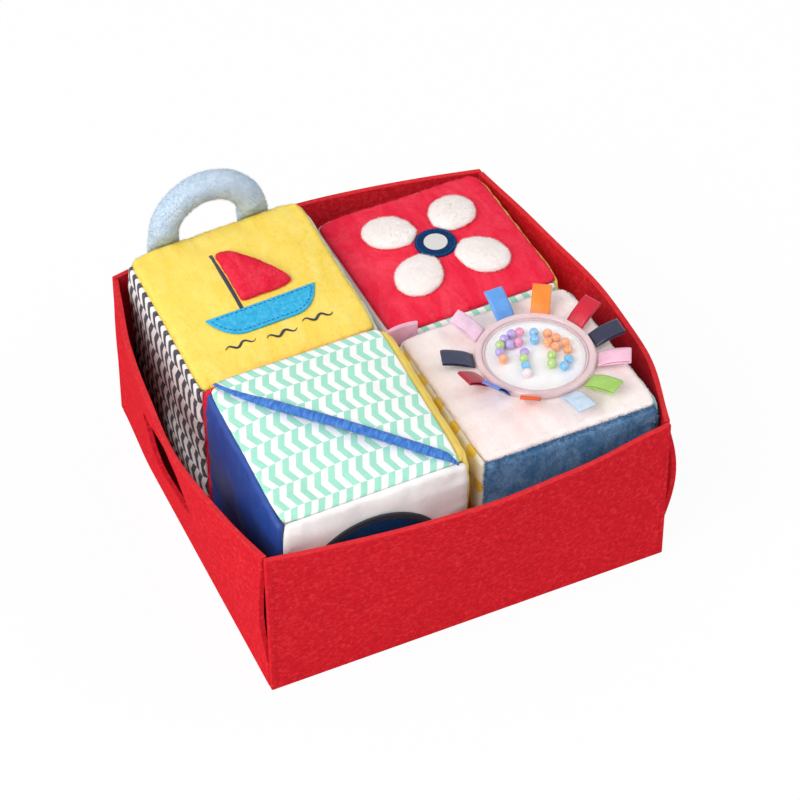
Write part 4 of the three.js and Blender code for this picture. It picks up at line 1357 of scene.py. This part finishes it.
def sail_outline():
    """A straight mast edge on the left and a full belly on the right, from the middle of the mast edge."""
    wide, half = SAIL_WIDTH, SAIL_HEIGHT / 2
    return np.concatenate([
        curve((0, 0.9 * half), (0, -0.9 * half), count=24),
        curve((0, -0.9 * half), (0, -half), (0.1 * wide, -half), count=6),
        curve((0.1 * wide, -half), (0.5 * wide, -half), count=8),
        curve((0.5 * wide, -half), (1.1 * wide, -half), (0.9 * wide, -0.6 * half)),
        curve((0.9 * wide, -0.6 * half), (0.6 * wide, 0.3 * half), (0.2 * wide, half), count=24),
        curve((0.2 * wide, half), (0, 1.1 * half), (0, 0.9 * half), count=8),
    ])


def petal_outline():
    """A petal that runs out along +X from its narrow root."""
    long, half = PETAL_LENGTH, PETAL_WIDTH / 2
    root, tip = PETAL_ROOT_SHARE * half, 0.9 * long
    low = (0.3 * long, -1.1 * half), (0.6 * long, -1.2 * half)
    high = (0.6 * long, 1.2 * half), (0.3 * long, 1.1 * half)
    return np.concatenate([
        curve((0, -root), *low, (tip, -0.6 * half), count=24),
        curve((tip, -0.6 * half), (1.1 * long, 0), (tip, 0.6 * half)),
        curve((tip, 0.6 * half), *high, (0, root), count=24),
        curve((0, root), (-0.05 * long, 0), (0, -root), count=8),
    ])


def laid(name, face, middle, outline, profile, ripples=0.0, seed=0):
    """A closed piece laid on a block's face. The profile's rows give a share of the outline and a lift off
    the cover, from the middle of the underside round the edge to the middle of the top. Also its rings."""
    share, lift = np.array(profile).T
    places = middle + outline * share[:, None, None]
    lifts = np.broadcast_to(lift[:, None], places.shape[:2])
    if ripples:
        fade = (share ** 2 * (lift > lift.min()))[:, None]
        lifts = lifts + ripples * fade * ripple(places[..., 0], places[..., 1], seed, 7)
    rings = in_frame(name, on_face(name, face, places[..., 0], places[..., 1], lifts))
    flat = np.concatenate([places.reshape(-1, 2), places[[0, -1]].mean(1)])
    return capped(rings), flat, rings


def felt_profile(thickness, base=CLEARANCE):
    """Flat below and above, with a rounded cut edge."""
    top, soft = base + thickness, 0.012
    below = [(share, base) for share in (0.03, 0.3, 0.6, 0.85, 1 - soft)]
    edge = [(1, base + 0.3 * thickness), (1, base + 0.7 * thickness)]
    above = [(share, top) for share in (1 - soft, 0.93, 0.85, 0.7, 0.5, 0.3, 0.03)]
    return below + edge + above


def pad_profile(swell):
    """Flat below, with a top that swells from the edge seam as a quarter of an ellipse."""
    below = [(share, CLEARANCE) for share in (0.03, 0.4, 0.75, 0.93)]
    seam = CLEARANCE + 0.5 * APPLIQUE
    turn = np.linspace(0, np.pi / 2, 15)[:-1]
    above = [(float(np.cos(t)), seam + (0.5 * APPLIQUE + swell) * float(np.sin(t) ** 0.85)) for t in turn]
    return below + above + [(0.03, CLEARANCE + APPLIQUE + swell)]


def closed(line):
    """A line of places with its first one again at its end."""
    return np.concatenate([line, line[:1]])


def resampled(line, step):
    """A line's points at even steps."""
    gone = along_line(line)
    at = np.linspace(0, gone[-1], max(int(gone[-1] / step), 8))
    return np.stack([np.interp(at, gone, line[:, axis]) for axis in (0, 1)], -1)


def stitched_line(piece_name, name, line, pitch, length, thread):
    """Blue stitches along a closed line on the felt of a block's top."""
    path = in_frame(name, on_face(name, "top", *line.T, CLEARANCE + APPLIQUE))
    add_piece(piece_name, name, stitches(path, (0, 0, 1), pitch, length, thread), "blue_thread")


def embroidered(piece_name, name, face, places, width, height, thread, lift):
    """A raised line of close stitches on a face."""
    path = in_frame(name, on_face(name, face, *places.T, lift))
    up = in_frame(name, np.array([FACES[face][0]], float))[0] - block_middle(name)
    shape = roll(path, up, width, height, EMBROIDERY_SIDES)
    add_piece(piece_name, name, shape, thread, flat=tube_flat(path, EMBROIDERY_SIDES, 1.0))


def lay_felt(piece_name, name, face, middle, outline, colour, replaced):
    """A felt shape of a flat size, laid on a face."""
    shape, flat, _ = laid(name, face, middle, outline, felt_profile(APPLIQUE))
    felt = add_piece(piece_name, name, shape, colour, replaced, flat)


def closed_rings(rings):
    """Rings with their first point again at the end, as a grid that pile can stand on."""
    return np.concatenate([rings, rings[:, :1]], 1)


# Boat

def make_boat():
    """The felt hull with its stitched line, the embroidered mast and waves, and the padded sail."""
    name, face = "boat_block", "top"
    middle = np.array([0, -HULL_DROP])
    outline = hull_outline()
    lay_felt("felt_hull", name, face, middle, outline, "turquoise_felt",
             "boat_hull_applique")
    inside = resampled(closed(middle + outline * (0.92, 0.78)), 0.5)
    stitched_line("hull_stitches", name, inside, 2.6, 2, 0.25)
    aside = -MAST_SET_LEFT - MAST_GAP
    mast = np.array([(aside, MAST_FOOT - HULL_DROP), (aside, SAIL_LIFT + SAIL_HEIGHT / 2 + MAST_HEAD)])
    mast = resampled(mast, EMBROIDERY_STEP)
    embroidered("embroidered_mast", name, face, mast, MAST_WIDTH, 0.5, "navy_thread", 0.1)
    x = spread(40, -WAVE_LENGTH / 2, WAVE_LENGTH / 2)
    wave = np.stack([x, WAVE_HEIGHT * np.sin(4 * np.pi * x / WAVE_LENGTH)], -1)
    wave = resampled(wave, EMBROIDERY_STEP)
    width = 0.8 * np.sin(np.linspace(0.12, np.pi - 0.12, len(wave)))
    for number, place in enumerate(WAVE_PLACES, 1):
        embroidered(f"embroidered_wave_{number}", name, face, wave + place, width, 0.4, "navy_thread", 0.1)
    make_sail(name, face)


def make_sail(name, face):
    outline = sail_outline()
    centre = (outline.min(0) + outline.max(0)) / 2
    middle = centre + (-MAST_SET_LEFT, SAIL_LIFT)
    shape, flat, rings = laid(name, face, middle, outline - centre, pad_profile(SAIL_PAD), 0.35, 5)
    sail = add_piece("padded_sail", "sail_flap", shape, "red_plush", "sail_flap", flat)
    on_top = closed_rings(rings[4:])
    fibres = pile(on_top, FIBRES["sail"], SAIL_PILE, STUFFED_FIBRE_THICKNESS, (0.1, -0.3, 0), 21)
    add_piece("sail_pile", "sail_flap", fibres, "red_plush")


def make_handle():
    """The stuffed ring: half a ring that stands on the seam. Both feet are pressed to a wedge, spread along
    the seam, and run down behind the block's rounded edge."""
    name = "boat_block"
    width, depth = BLOCKS[name]["size"][:2]
    seam_slope = BLOCKS[name]["lean"][0] / (width / 2)
    plane = depth / 2 - HANDLE_INSET
    seat = on_face(name, "top", -HANDLE_SET_LEFT, plane - HANDLE_FLAT_SHARE * HANDLE_TUBE, CLEARANCE)[2]
    centre = np.array([-HANDLE_SET_LEFT, plane, seat + HANDLE_RISE])
    below = math.asin(HANDLE_RISE / HANDLE_RADIUS)
    below_left, below_right = spread(6, -below, 0)[:-1], spread(6, np.pi, np.pi + below)[1:]
    turn = np.concatenate([below_left, spread(150, 0, np.pi), below_right])
    past = np.maximum(0, np.maximum(-turn, turn - np.pi))
    level = np.where(turn < np.pi / 2, 0, np.pi)
    tilt = np.where(past > 0, level + (turn - level) * (1 - past / below), turn)
    rise = HANDLE_RADIUS * np.sin(turn) + centre[2]
    pressed = HANDLE_TUBE * (1 - (1 - HANDLE_FLAT_SHARE) * (past / below) ** 2)
    half = np.minimum(pressed, HANDLE_SEAM_EDGE + HANDLE_SPREAD_SHARE * (rise - seat))
    around = 2 * np.pi * np.arange(48) / 48
    lumps = 1 + 0.02 * ripple(turn[:, None] * HANDLE_RADIUS, around[None] * HANDLE_TUBE, 3, 16)
    foot = 1 - smooth((rise - seat) / HANDLE_FOOT_HEIGHT)
    outward = HANDLE_TUBE * np.cos(around) * lumps * (1 + HANDLE_FOOT_SPREAD_SHARE * foot)[:, None]
    aside = (HANDLE_RADIUS * np.cos(turn))[:, None] + outward * np.cos(tilt)[:, None]
    rise = seat + HANDLE_SAG_SHARE * (rise - seat) - HANDLE_FOOT_DROP * foot
    backwards = HANDLE_LEAN_BACK * np.maximum(0, np.sin(turn)) + HANDLE_INSET * foot
    rings = np.stack([
        centre[0] + aside,
        centre[1] + backwards[:, None] + half[:, None] * np.sin(around) * lumps,
        rise[:, None] + outward * np.sin(tilt)[:, None] + seam_slope * aside,
    ], -1)
    rings = in_frame(name, rings)
    ring = add_piece(
        "stuffed_ring", "plush_ring_handle", capped(rings), "light_blue_plush", "plush_ring_handle"
    )
    length = cover_looks().long_pile / MM
    fibres = pile(closed_rings(rings), FIBRES["ring"], length, STUFFED_FIBRE_THICKNESS, (0, -0.25, -0.2), 31)
    add_piece("ring_pile", "plush_ring_handle", fibres, "light_blue_plush")


# Flower

def make_flower():
    """The felt centre with its embroidered eye, and the padded petals."""
    name, face = "flower_block", "top"
    here = np.zeros(2)
    lay_felt("felt_flower_centre", name, face, here, circle(72, FLOWER_CENTRE_RADIUS),
             "navy_felt", "flower_centre_disc")
    rim = closed(circle(90, FLOWER_CENTRE_RADIUS - 1))
    stitched_line("flower_centre_stitches", name, rim, 2.2, 1.7, 0.22)
    thread = felt_profile(0.5, CLEARANCE + APPLIQUE)
    eye, flat, _ = laid(name, face, here, circle(60, FLOWER_EYE_RADIUS), thread)
    add_piece("embroidered_eye", name, eye, "white_thread", flat=flat)
    outline = petal_outline()
    centre = (outline.min(0) + outline.max(0)) / 2
    middle = centre + (FLOWER_CENTRE_RADIUS + APPLIQUE + CLEARANCE, 0)
    for number in range(PETALS):
        spin = spun(2 * np.pi * (number + 0.5) / PETALS)[:2, :2]
        petal_line = (outline - centre) @ spin
        shape, flat, rings = laid(name, face, middle @ spin, petal_line, pad_profile(PETAL_PAD), 0.2, number)
        body = f"flower_petal_{number + 1}"
        petal = add_piece(f"padded_petal_{number + 1}", body, shape, "petal_plush", body, flat)
        on_top = closed_rings(rings[4:])
        fibres = pile(on_top, FIBRES["petal"], PETAL_PILE, FIBRE_THICKNESS, (0, -0.3, 0), 40 + number)
        add_piece(f"petal_pile_{number + 1}", body, fibres, "petal_plush")


# Pocket

def make_pocket():
    """The triangle of cloth, its rolled binding, and the navy disc with its stitched edge."""
    name, face = "pocket_block", "top"
    half = BLOCK_SIZE / 2
    right, back = half - YELLOW_OVERLAP - 0.4, half - RED_OVERLAP - 0.4
    low_left, low_right = np.array([-half + POCKET_CORNER_INSET, back]), np.array([right, -half + 1])
    corner = np.array([right, back])
    t, s = np.meshgrid(spread(90, 0, 1), spread(60, 0, 0.985))
    edge = pocket_edge(low_left, low_right, t)
    places = edge + (corner - edge) * s[..., None]
    puff = POCKET_PUFF * np.sin(np.pi * t) * (1 - s) ** 0.7
    lift = CLEARANCE + POCKET_CLOTH + puff + 0.35 * ripple(places[..., 0], places[..., 1], 8, 24) * puff
    outer = on_face(name, face, places[..., 0], places[..., 1], lift)
    shape = stood(name, shell(outer, outer - grid_normals(outer) * 0.8))
    flap = add_piece("pocket_cloth", name, shape, "mint_herringbone_cotton", "pocket_flap",
                     twice(places + (2.2, 3.1)))
    make_binding(name, face, low_left, low_right)
    make_disc(name)


def pocket_edge(start, end, share):
    """The pocket's open edge: a line that hangs slack as a sine wave, most before its middle."""
    slack = POCKET_SLACK * np.sin(np.pi * share ** 0.75)
    return start + (end - start) * share[..., None] - slack[..., None] / math.sqrt(2)


def make_binding(name, face, start, end):
    """The rolled edge: thick and gathered in the middle, pressed flat into the corner seams."""
    share = spread(160, 0.0, 1.0)
    aside = np.array([-1, -1]) / math.sqrt(2) * (BINDING_RADIUS * 0.4)
    places = pocket_edge(start, end, share) + aside
    press = smooth(share / 0.3) * smooth((1 - share) / 0.08)
    gather = 1 + 0.05 * ripple(share * 130, share * 0, 4, 5)
    height = (0.4 + 0.9 * BINDING_RADIUS * press) * gather
    width = BINDING_RADIUS * (0.55 + 0.8 * press) * gather
    lift = CLEARANCE + POCKET_CLOTH + 0.4 + (POCKET_PUFF + 0.2) * np.sin(np.pi * share) * press
    path = in_frame(name, on_face(name, face, *places.T, lift))
    sides = 20
    shape = roll(path, (0, 0, 1), width, height, sides)
    flat = tube_flat(path, sides, 0.6)
    binding = add_piece("rolled_binding", name, shape, "blue_binding", "pocket_binding", flat)


def make_disc(name):
    middle = np.array([-DISC_SET_LEFT, -DISC_DROP])
    lay_felt("felt_disc", name, "front", middle, circle(120, DISC_RADIUS),
             "navy_felt", "navy_felt_disc")
    edge = resampled(closed(middle + circle(240, DISC_RADIUS - DISC_EDGE * 0.6)), EMBROIDERY_STEP)
    edge = np.concatenate([edge, edge[1:2]])
    embroidered("disc_edge_stitching", name, "front", edge, DISC_EDGE, 0.9, "ink_thread",
                CLEARANCE + APPLIQUE * 0.6)


# Ribbons

def ribbon_loop(length, width, thickness, fold):
    """A ribbon folded back on itself, along +X and across Y: out above, round the fold, and back below. The
    path is two lines and a half circle, swept across the width with the ribbon's thickness. Also its flat
    places."""
    out = spread(18, 0, length - fold)
    bend = np.linspace(np.pi / 2, -np.pi / 2, 11)[1:-1]
    open_it = fold * smooth(out / length * 3) * 0.8 + 0.2 * fold
    upper = np.stack([out, open_it], -1)
    lower = np.stack([out, -open_it], -1)[::-1]
    tip = np.stack([length - fold + fold * np.cos(bend), fold * np.sin(bend)], -1)
    path = np.concatenate([upper, tip, lower])
    along = along_line(path)
    step = unit(np.gradient(path, axis=0))
    away = np.stack([-step[:, 1], step[:, 0]], -1)
    y = spread(9, -width / 2, width / 2)
    skins = []
    for side in (0.5, -0.5):
        line = path + away * thickness * side
        grid = np.empty((len(y), len(path), 3))
        grid[..., 0], grid[..., 1], grid[..., 2] = line[:, 0], y[:, None], line[:, 1]
        skins.append(grid)
    flat = np.stack(np.broadcast_arrays(along[None], y[:, None]), -1)
    return skins, flat


def rattle_seat():
    """Where the rattle stands on its block, in the block's own frame."""
    top = BLOCKS["rattle_block"]["size"][2] / 2
    return np.array([RATTLE_SET_RIGHT, RATTLE_SET_BACK, top + FLAT_TOP_CROWN + CLEARANCE])


def make_ribbons():
    """Twelve satin loops round the rattle, each bowed a little and rising as it does at rest."""
    skins, flat = ribbon_loop(RIBBON_LENGTH, RIBBON_WIDTH, RIBBON_THICKNESS, RIBBON_FOLD)
    for number, (bearing, rise, cloth) in enumerate(RIBBONS, 1):
        tip = math.radians(rise)
        placed = []
        for skin in skins:
            x, y, z = np.moveaxis(skin, -1, 0)
            share = x / RIBBON_LENGTH
            bow = RIBBON_CURL * (1 - (2 * share - 1) ** 2)
            cup = 0.25 * np.sin(np.pi * share) * (1 - (2 * y / RIBBON_WIDTH) ** 2)
            z = z + bow + cup
            out = CASE_RADIUS + CLEARANCE + RIBBON_THICKNESS + x * math.cos(tip) - z * math.sin(tip)
            up = RIBBON_LEVEL + x * math.sin(tip) + z * math.cos(tip)
            own = np.stack([out, y, up], -1) @ spun(math.radians(bearing))
            placed.append(in_frame("rattle_block", own + rattle_seat()))
        body = f"ribbon_tab_{number:02d}"
        loop = add_piece(f"ribbon_loop_{number:02d}", body, shell(*placed), cloth, body, twice(flat))


def make_tag():
    """The pink satin tag that stands out of the yellow block's corner seam, between the blocks."""
    name = "boat_block"
    width, depth = BLOCKS[name]["size"][:2]
    top = on_block(name, np.array([1.0, -1.0, 1.0]))[2] - CLEARANCE
    foot = np.array([width / 2 - SEAM_DRAW + 2 * CLEARANCE, CLEARANCE - depth / 2, top])
    skins, flat = ribbon_loop(TAG_LENGTH, TAG_WIDTH, RIBBON_THICKNESS, RIBBON_FOLD * 0.7)
    placed = []
    for skin in skins:
        x, y, z = np.moveaxis(skin, -1, 0)
        share = np.clip(x / TAG_LENGTH, 0, 1)
        climb = TAG_RISE * share + 4 * TAG_ARCH * share * (1 - share)
        sway = 0.5 * np.sin(np.pi * share)
        own = np.stack([x, z + sway, y - TAG_WIDTH / 2 + climb], -1)
        placed.append(in_frame(name, own + foot)[::-1])
    body = "side_ribbon_tag"
    tag = add_piece("satin_tag", body, shell(*placed), "pink_satin", body, twice(flat[::-1]))


# Rattle

def turned(profile, segments=96):
    """Rings of a profile of radius and height turned about the rattle's axis."""
    turn = 2 * np.pi * np.arange(segments) / segments
    radius, height = np.array(profile, float).T
    return np.stack([
        radius[:, None] * np.cos(turn), radius[:, None] * np.sin(turn), height[:, None] + 0 * turn
    ], -1)


def rounded_box_section(low, high, bottom, top, rounding, steps=7):
    """A closed section with rounded corners, left-handed from its lower outer corner."""
    corners = ((high - rounding, bottom + rounding, -90), (high - rounding, top - rounding, 0),
               (low + rounding, top - rounding, 90), (low + rounding, bottom + rounding, 180))
    points = []
    for x, y, start in corners:
        turn = np.radians(start + spread(steps, 0, 90))
        points.append(np.stack([x + rounding * np.cos(turn), y + rounding * np.sin(turn)], -1))
    return np.concatenate(points)


def seated(shape):
    """A shape about the rattle's foot, where the rattle stands."""
    points, faces = shape
    return stood("rattle_block", (points + rattle_seat(), faces))


def make_rattle():
    """The translucent bezel, the pearly floor, the clear dome and the loose beads."""
    name = "rattle_block"
    inside = CASE_RADIUS - BEZEL_WIDTH
    step = inside + BEZEL_STEP
    lip = rounded_box_section(inside, step - 0.1, 0, BEZEL_HEIGHT * 0.7, BEZEL_STEP * 0.4)
    ring = rounded_box_section(step, CASE_RADIUS, 0, BEZEL_HEIGHT, BEZEL_HEIGHT * 0.42)
    points, faces = joined([hoop(turned(section)) for section in (lip, ring)])
    bezel = seated((points, [part[:, ::-1] for part in faces]))
    add_piece("rattle_bezel", name, bezel, "rattle_case_plastic", "rattle_case")
    dish = [(0.5, 0.1), (inside * 0.5, 0.1), (inside - 0.1, 0.1), (inside - 0.1, CASE_FLOOR + 0.6),
            (inside - 1.2, CASE_FLOOR), (inside * 0.6, CASE_FLOOR), (0.5, CASE_FLOOR)]
    add_piece("rattle_floor", name, seated(capped(turned(dish))), "rattle_floor")
    dome = seated(dome_shape(inside - CLEARANCE))
    add_piece("clear_dome", name, dome, "rattle_dome_plastic", "rattle_dome")
    make_beads()


def dome_shape(radius):
    """A shallow dome with a wall, from its inner top down to its rim and up to its outer top."""
    level = CASE_FLOOR + CLEARANCE
    turn = np.linspace(np.pi / 2, 0, 22)[1:]
    skins = []
    for wall, angles in ((DOME_WALL, turn), (0, turn[::-1])):
        skins += [((radius - wall) * np.cos(t), level + (DOME_HEIGHT - wall) * np.sin(t)) for t in angles]
    return capped(turned(skins))


def make_beads():
    """Round beads that lie on the floor, each with its own colour."""
    turn = np.linspace(-np.pi / 2, np.pi / 2, 11)[1:-1]
    ball = turned([(BEAD_RADIUS * np.cos(t), BEAD_RADIUS * np.sin(t)) for t in turn], 16)
    level = CASE_FLOOR + CLEARANCE + BEAD_RADIUS
    points, faces = capped(ball)
    shapes, colours = [], []
    for colour, places in BEADS.items():
        shapes += [(points + (across, back, level), faces) for across, back in places]
        colours.append(np.tile(opaque(BEAD_COLOURS[colour]), (len(points) * len(places), 1)))
    beads = add_piece("loose_beads", "rattle_beads", seated(joined(shapes)), "bead_plastic", "rattle_beads")
    own = beads.data.color_attributes.new("bead_colour", "FLOAT_COLOR", "POINT")
    own.data.foreach_set("color", np.concatenate(colours).astype(np.float32).ravel())


# Stage

def make_stage():
    """A plain floor, three soft lights, an even sky and the camera."""
    scene = bpy.context.scene
    scene.view_settings.view_transform = "Standard"
    floor = bpy.data.meshes.new("stage_floor")
    far = FLOOR_HALF_WIDTH
    floor.from_pydata([(-far, -far, 0), (far, -far, 0), (far, far, 0), (-far, far, 0)], [], [(0, 1, 2, 3)])
    floor.materials.append(pale_floor())
    plane = bpy.data.objects.new("stage_floor", floor)
    scene.collection.objects.link(plane)
    plane.location.z = FLOOR_LEVEL
    make_sky()
    for name, (place, size) in LIGHTS.items():
        area_light(name + "_light", place, size, getattr(scene.soft_blocks_stage, name))
    make_camera()


def pale_floor():
    """A matt floor that takes the pieces' shadows and is seen as nearly white."""
    material = bpy.data.materials.new("pale_floor")
    tree = cleared(material)
    colour = opaque(bpy.context.scene.soft_blocks_stage.floor)
    matt = node(tree, "BsdfDiffuse", {"Color": colour}).outputs[0]
    white = node(tree, "Emission", {"Color": WHITE, "Strength": 1.0}).outputs[0]
    share = maths(tree, "MULTIPLY", seen_directly(tree), 0.95)
    mix = node(tree, "MixShader", {0: share, 1: matt, 2: white}).outputs[0]
    node(tree, "OutputMaterial", {"Surface": mix})
    return material


def seen_directly(tree):
    """One for what the camera, a reflection or a clear piece shows, and nought for light on things."""
    path = node(tree, "LightPath").outputs
    seen = maths(tree, "MAXIMUM", path["Is Camera Ray"], path["Is Glossy Ray"])
    return maths(tree, "MAXIMUM", seen, path["Is Transmission Ray"])


def make_sky():
    """An even white light from all round, seen directly as pure white."""
    world = bpy.data.worlds.new("soft_sky")
    bpy.context.scene.world = world
    tree = cleared(world)
    sky, seen = (
        node(tree, "Background", {"Color": WHITE, "Strength": strength}).outputs[0]
        for strength in (bpy.context.scene.soft_blocks_stage.sky, 1.0)
    )
    mix = node(tree, "MixShader", {0: seen_directly(tree), 1: sky, 2: seen}).outputs[0]
    node(tree, "OutputWorld", {"Surface": mix})


def area_light(name, place, size, power):
    """A square soft light that looks at the tray's middle."""
    light = bpy.data.lights.new(name, "AREA")
    light.shape = "SQUARE"
    light.size = size
    light.energy = power
    lamp = bpy.data.objects.new(name, light)
    bpy.context.scene.collection.objects.link(lamp)
    lamp.location = place
    lamp.rotation_mode = "QUATERNION"
    lamp.rotation_quaternion = (Vector(LIGHT_AIM) - lamp.location).to_track_quat("-Z", "Y")


def make_camera():
    """The camera's turns are about its own X and Y axes, after the turn about Z."""
    tip, tilt, yaw = (math.radians(turn) for turn in CAMERA_TURNS)
    data = bpy.data.cameras.new("photo_camera")
    data.lens = CAMERA_LENS
    data.sensor_width = CAMERA_SENSOR
    camera = bpy.data.objects.new("photo_camera", data)
    bpy.context.scene.collection.objects.link(camera)
    turns = Matrix.Rotation(yaw, 4, "Z") @ Matrix.Rotation(tip, 4, "X") @ Matrix.Rotation(tilt, 4, "Y")
    camera.matrix_world = Matrix.Translation([part * MM for part in CAMERA_PLACE]) @ turns
    bpy.context.scene.camera = camera


# Operators

class MakesPieces:
    """What the operators share: each runs its own makers"""

    def execute(self, context):
        for make in self.makers:
            make()
        return {"FINISHED"}


class SOFTBLOCKS_OT_stage(MakesPieces, bpy.types.Operator):
    """Make the floor, the lights, the sky and the camera"""

    bl_idname = "soft_blocks.stage"
    bl_label = "Stage"
    makers = (make_stage,)


class SOFTBLOCKS_OT_tray(MakesPieces, bpy.types.Operator):
    """Make the felt tray's base and walls, and their stitches"""

    bl_idname = "soft_blocks.tray"
    bl_label = "Felt tray"
    makers = (make_tray,)


class SOFTBLOCKS_OT_cores(MakesPieces, bpy.types.Operator):
    """Make the blocks' foam cores"""

    bl_idname = "soft_blocks.cores"
    bl_label = "Foam cores"
    makers = (make_cores,)


class SOFTBLOCKS_OT_covers(MakesPieces, bpy.types.Operator):
    """Make the blocks' cover panels, with the pile of the plush ones"""

    bl_idname = "soft_blocks.covers"
    bl_label = "Covers"
    makers = (make_covers,)


class SOFTBLOCKS_OT_boat(MakesPieces, bpy.types.Operator):
    """Make the boat's hull, mast, waves and sail"""

    bl_idname = "soft_blocks.boat"
    bl_label = "Boat"
    makers = (make_boat,)


class SOFTBLOCKS_OT_handle(MakesPieces, bpy.types.Operator):
    """Make the stuffed ring handle"""

    bl_idname = "soft_blocks.handle"
    bl_label = "Ring handle"
    makers = (make_handle,)


class SOFTBLOCKS_OT_flower(MakesPieces, bpy.types.Operator):
    """Make the flower's centre and petals"""

    bl_idname = "soft_blocks.flower"
    bl_label = "Flower"
    makers = (make_flower,)


class SOFTBLOCKS_OT_pocket(MakesPieces, bpy.types.Operator):
    """Make the pocket, its binding and the navy disc"""

    bl_idname = "soft_blocks.pocket"
    bl_label = "Pocket and disc"
    makers = (make_pocket,)


class SOFTBLOCKS_OT_ribbons(MakesPieces, bpy.types.Operator):
    """Make the ribbon loops and the corner tag"""

    bl_idname = "soft_blocks.ribbons"
    bl_label = "Ribbons"
    makers = (make_ribbons, make_tag)


class SOFTBLOCKS_OT_rattle(MakesPieces, bpy.types.Operator):
    """Make the rattle's bezel, floor, dome and beads"""

    bl_idname = "soft_blocks.rattle"
    bl_label = "Rattle"
    makers = (make_rattle,)


class SOFTBLOCKS_PT_sidebar(bpy.types.Panel):
    """The set's looks, and a button for each group of pieces"""

    bl_idname = "SOFTBLOCKS_PT_sidebar"
    bl_label = "Soft blocks"
    bl_space_type = "VIEW_3D"
    bl_region_type = "UI"
    bl_category = "Soft blocks"

    def draw(self, context):
        for name in PROPERTY_GROUPS:
            group = getattr(context.scene, name)
            box = self.layout.box()
            for prop in group.bl_rna.properties.keys():
                if prop not in ("rna_type", "name"):
                    box.prop(group, prop)
        for operator in OPERATORS:
            self.layout.operator(operator.bl_idname)


PROPERTY_GROUPS = {
    "soft_blocks_tray": SoftBlocksTrayLooks,
    "soft_blocks_covers": SoftBlocksCoverLooks,
    "soft_blocks_stage": SoftBlocksStageLooks,
}

# In the order in which they stand above
OPERATORS = tuple(MakesPieces.__subclasses__())


def register():
    for made in (*PROPERTY_GROUPS.values(), *OPERATORS, SOFTBLOCKS_PT_sidebar):
        bpy.utils.register_class(made)
    for name, group in PROPERTY_GROUPS.items():
        setattr(bpy.types.Scene, name, bpy.props.PointerProperty(type=group))


def unregister():
    for name in PROPERTY_GROUPS:
        delattr(bpy.types.Scene, name)
    for made in (SOFTBLOCKS_PT_sidebar, *reversed(OPERATORS), *reversed(PROPERTY_GROUPS.values())):
        bpy.utils.unregister_class(made)


def main():
    register()
    for operator in OPERATORS:
        group, name = operator.bl_idname.split(".")
        getattr(getattr(bpy.ops, group), name)()


if __name__ == "__main__":
    main()
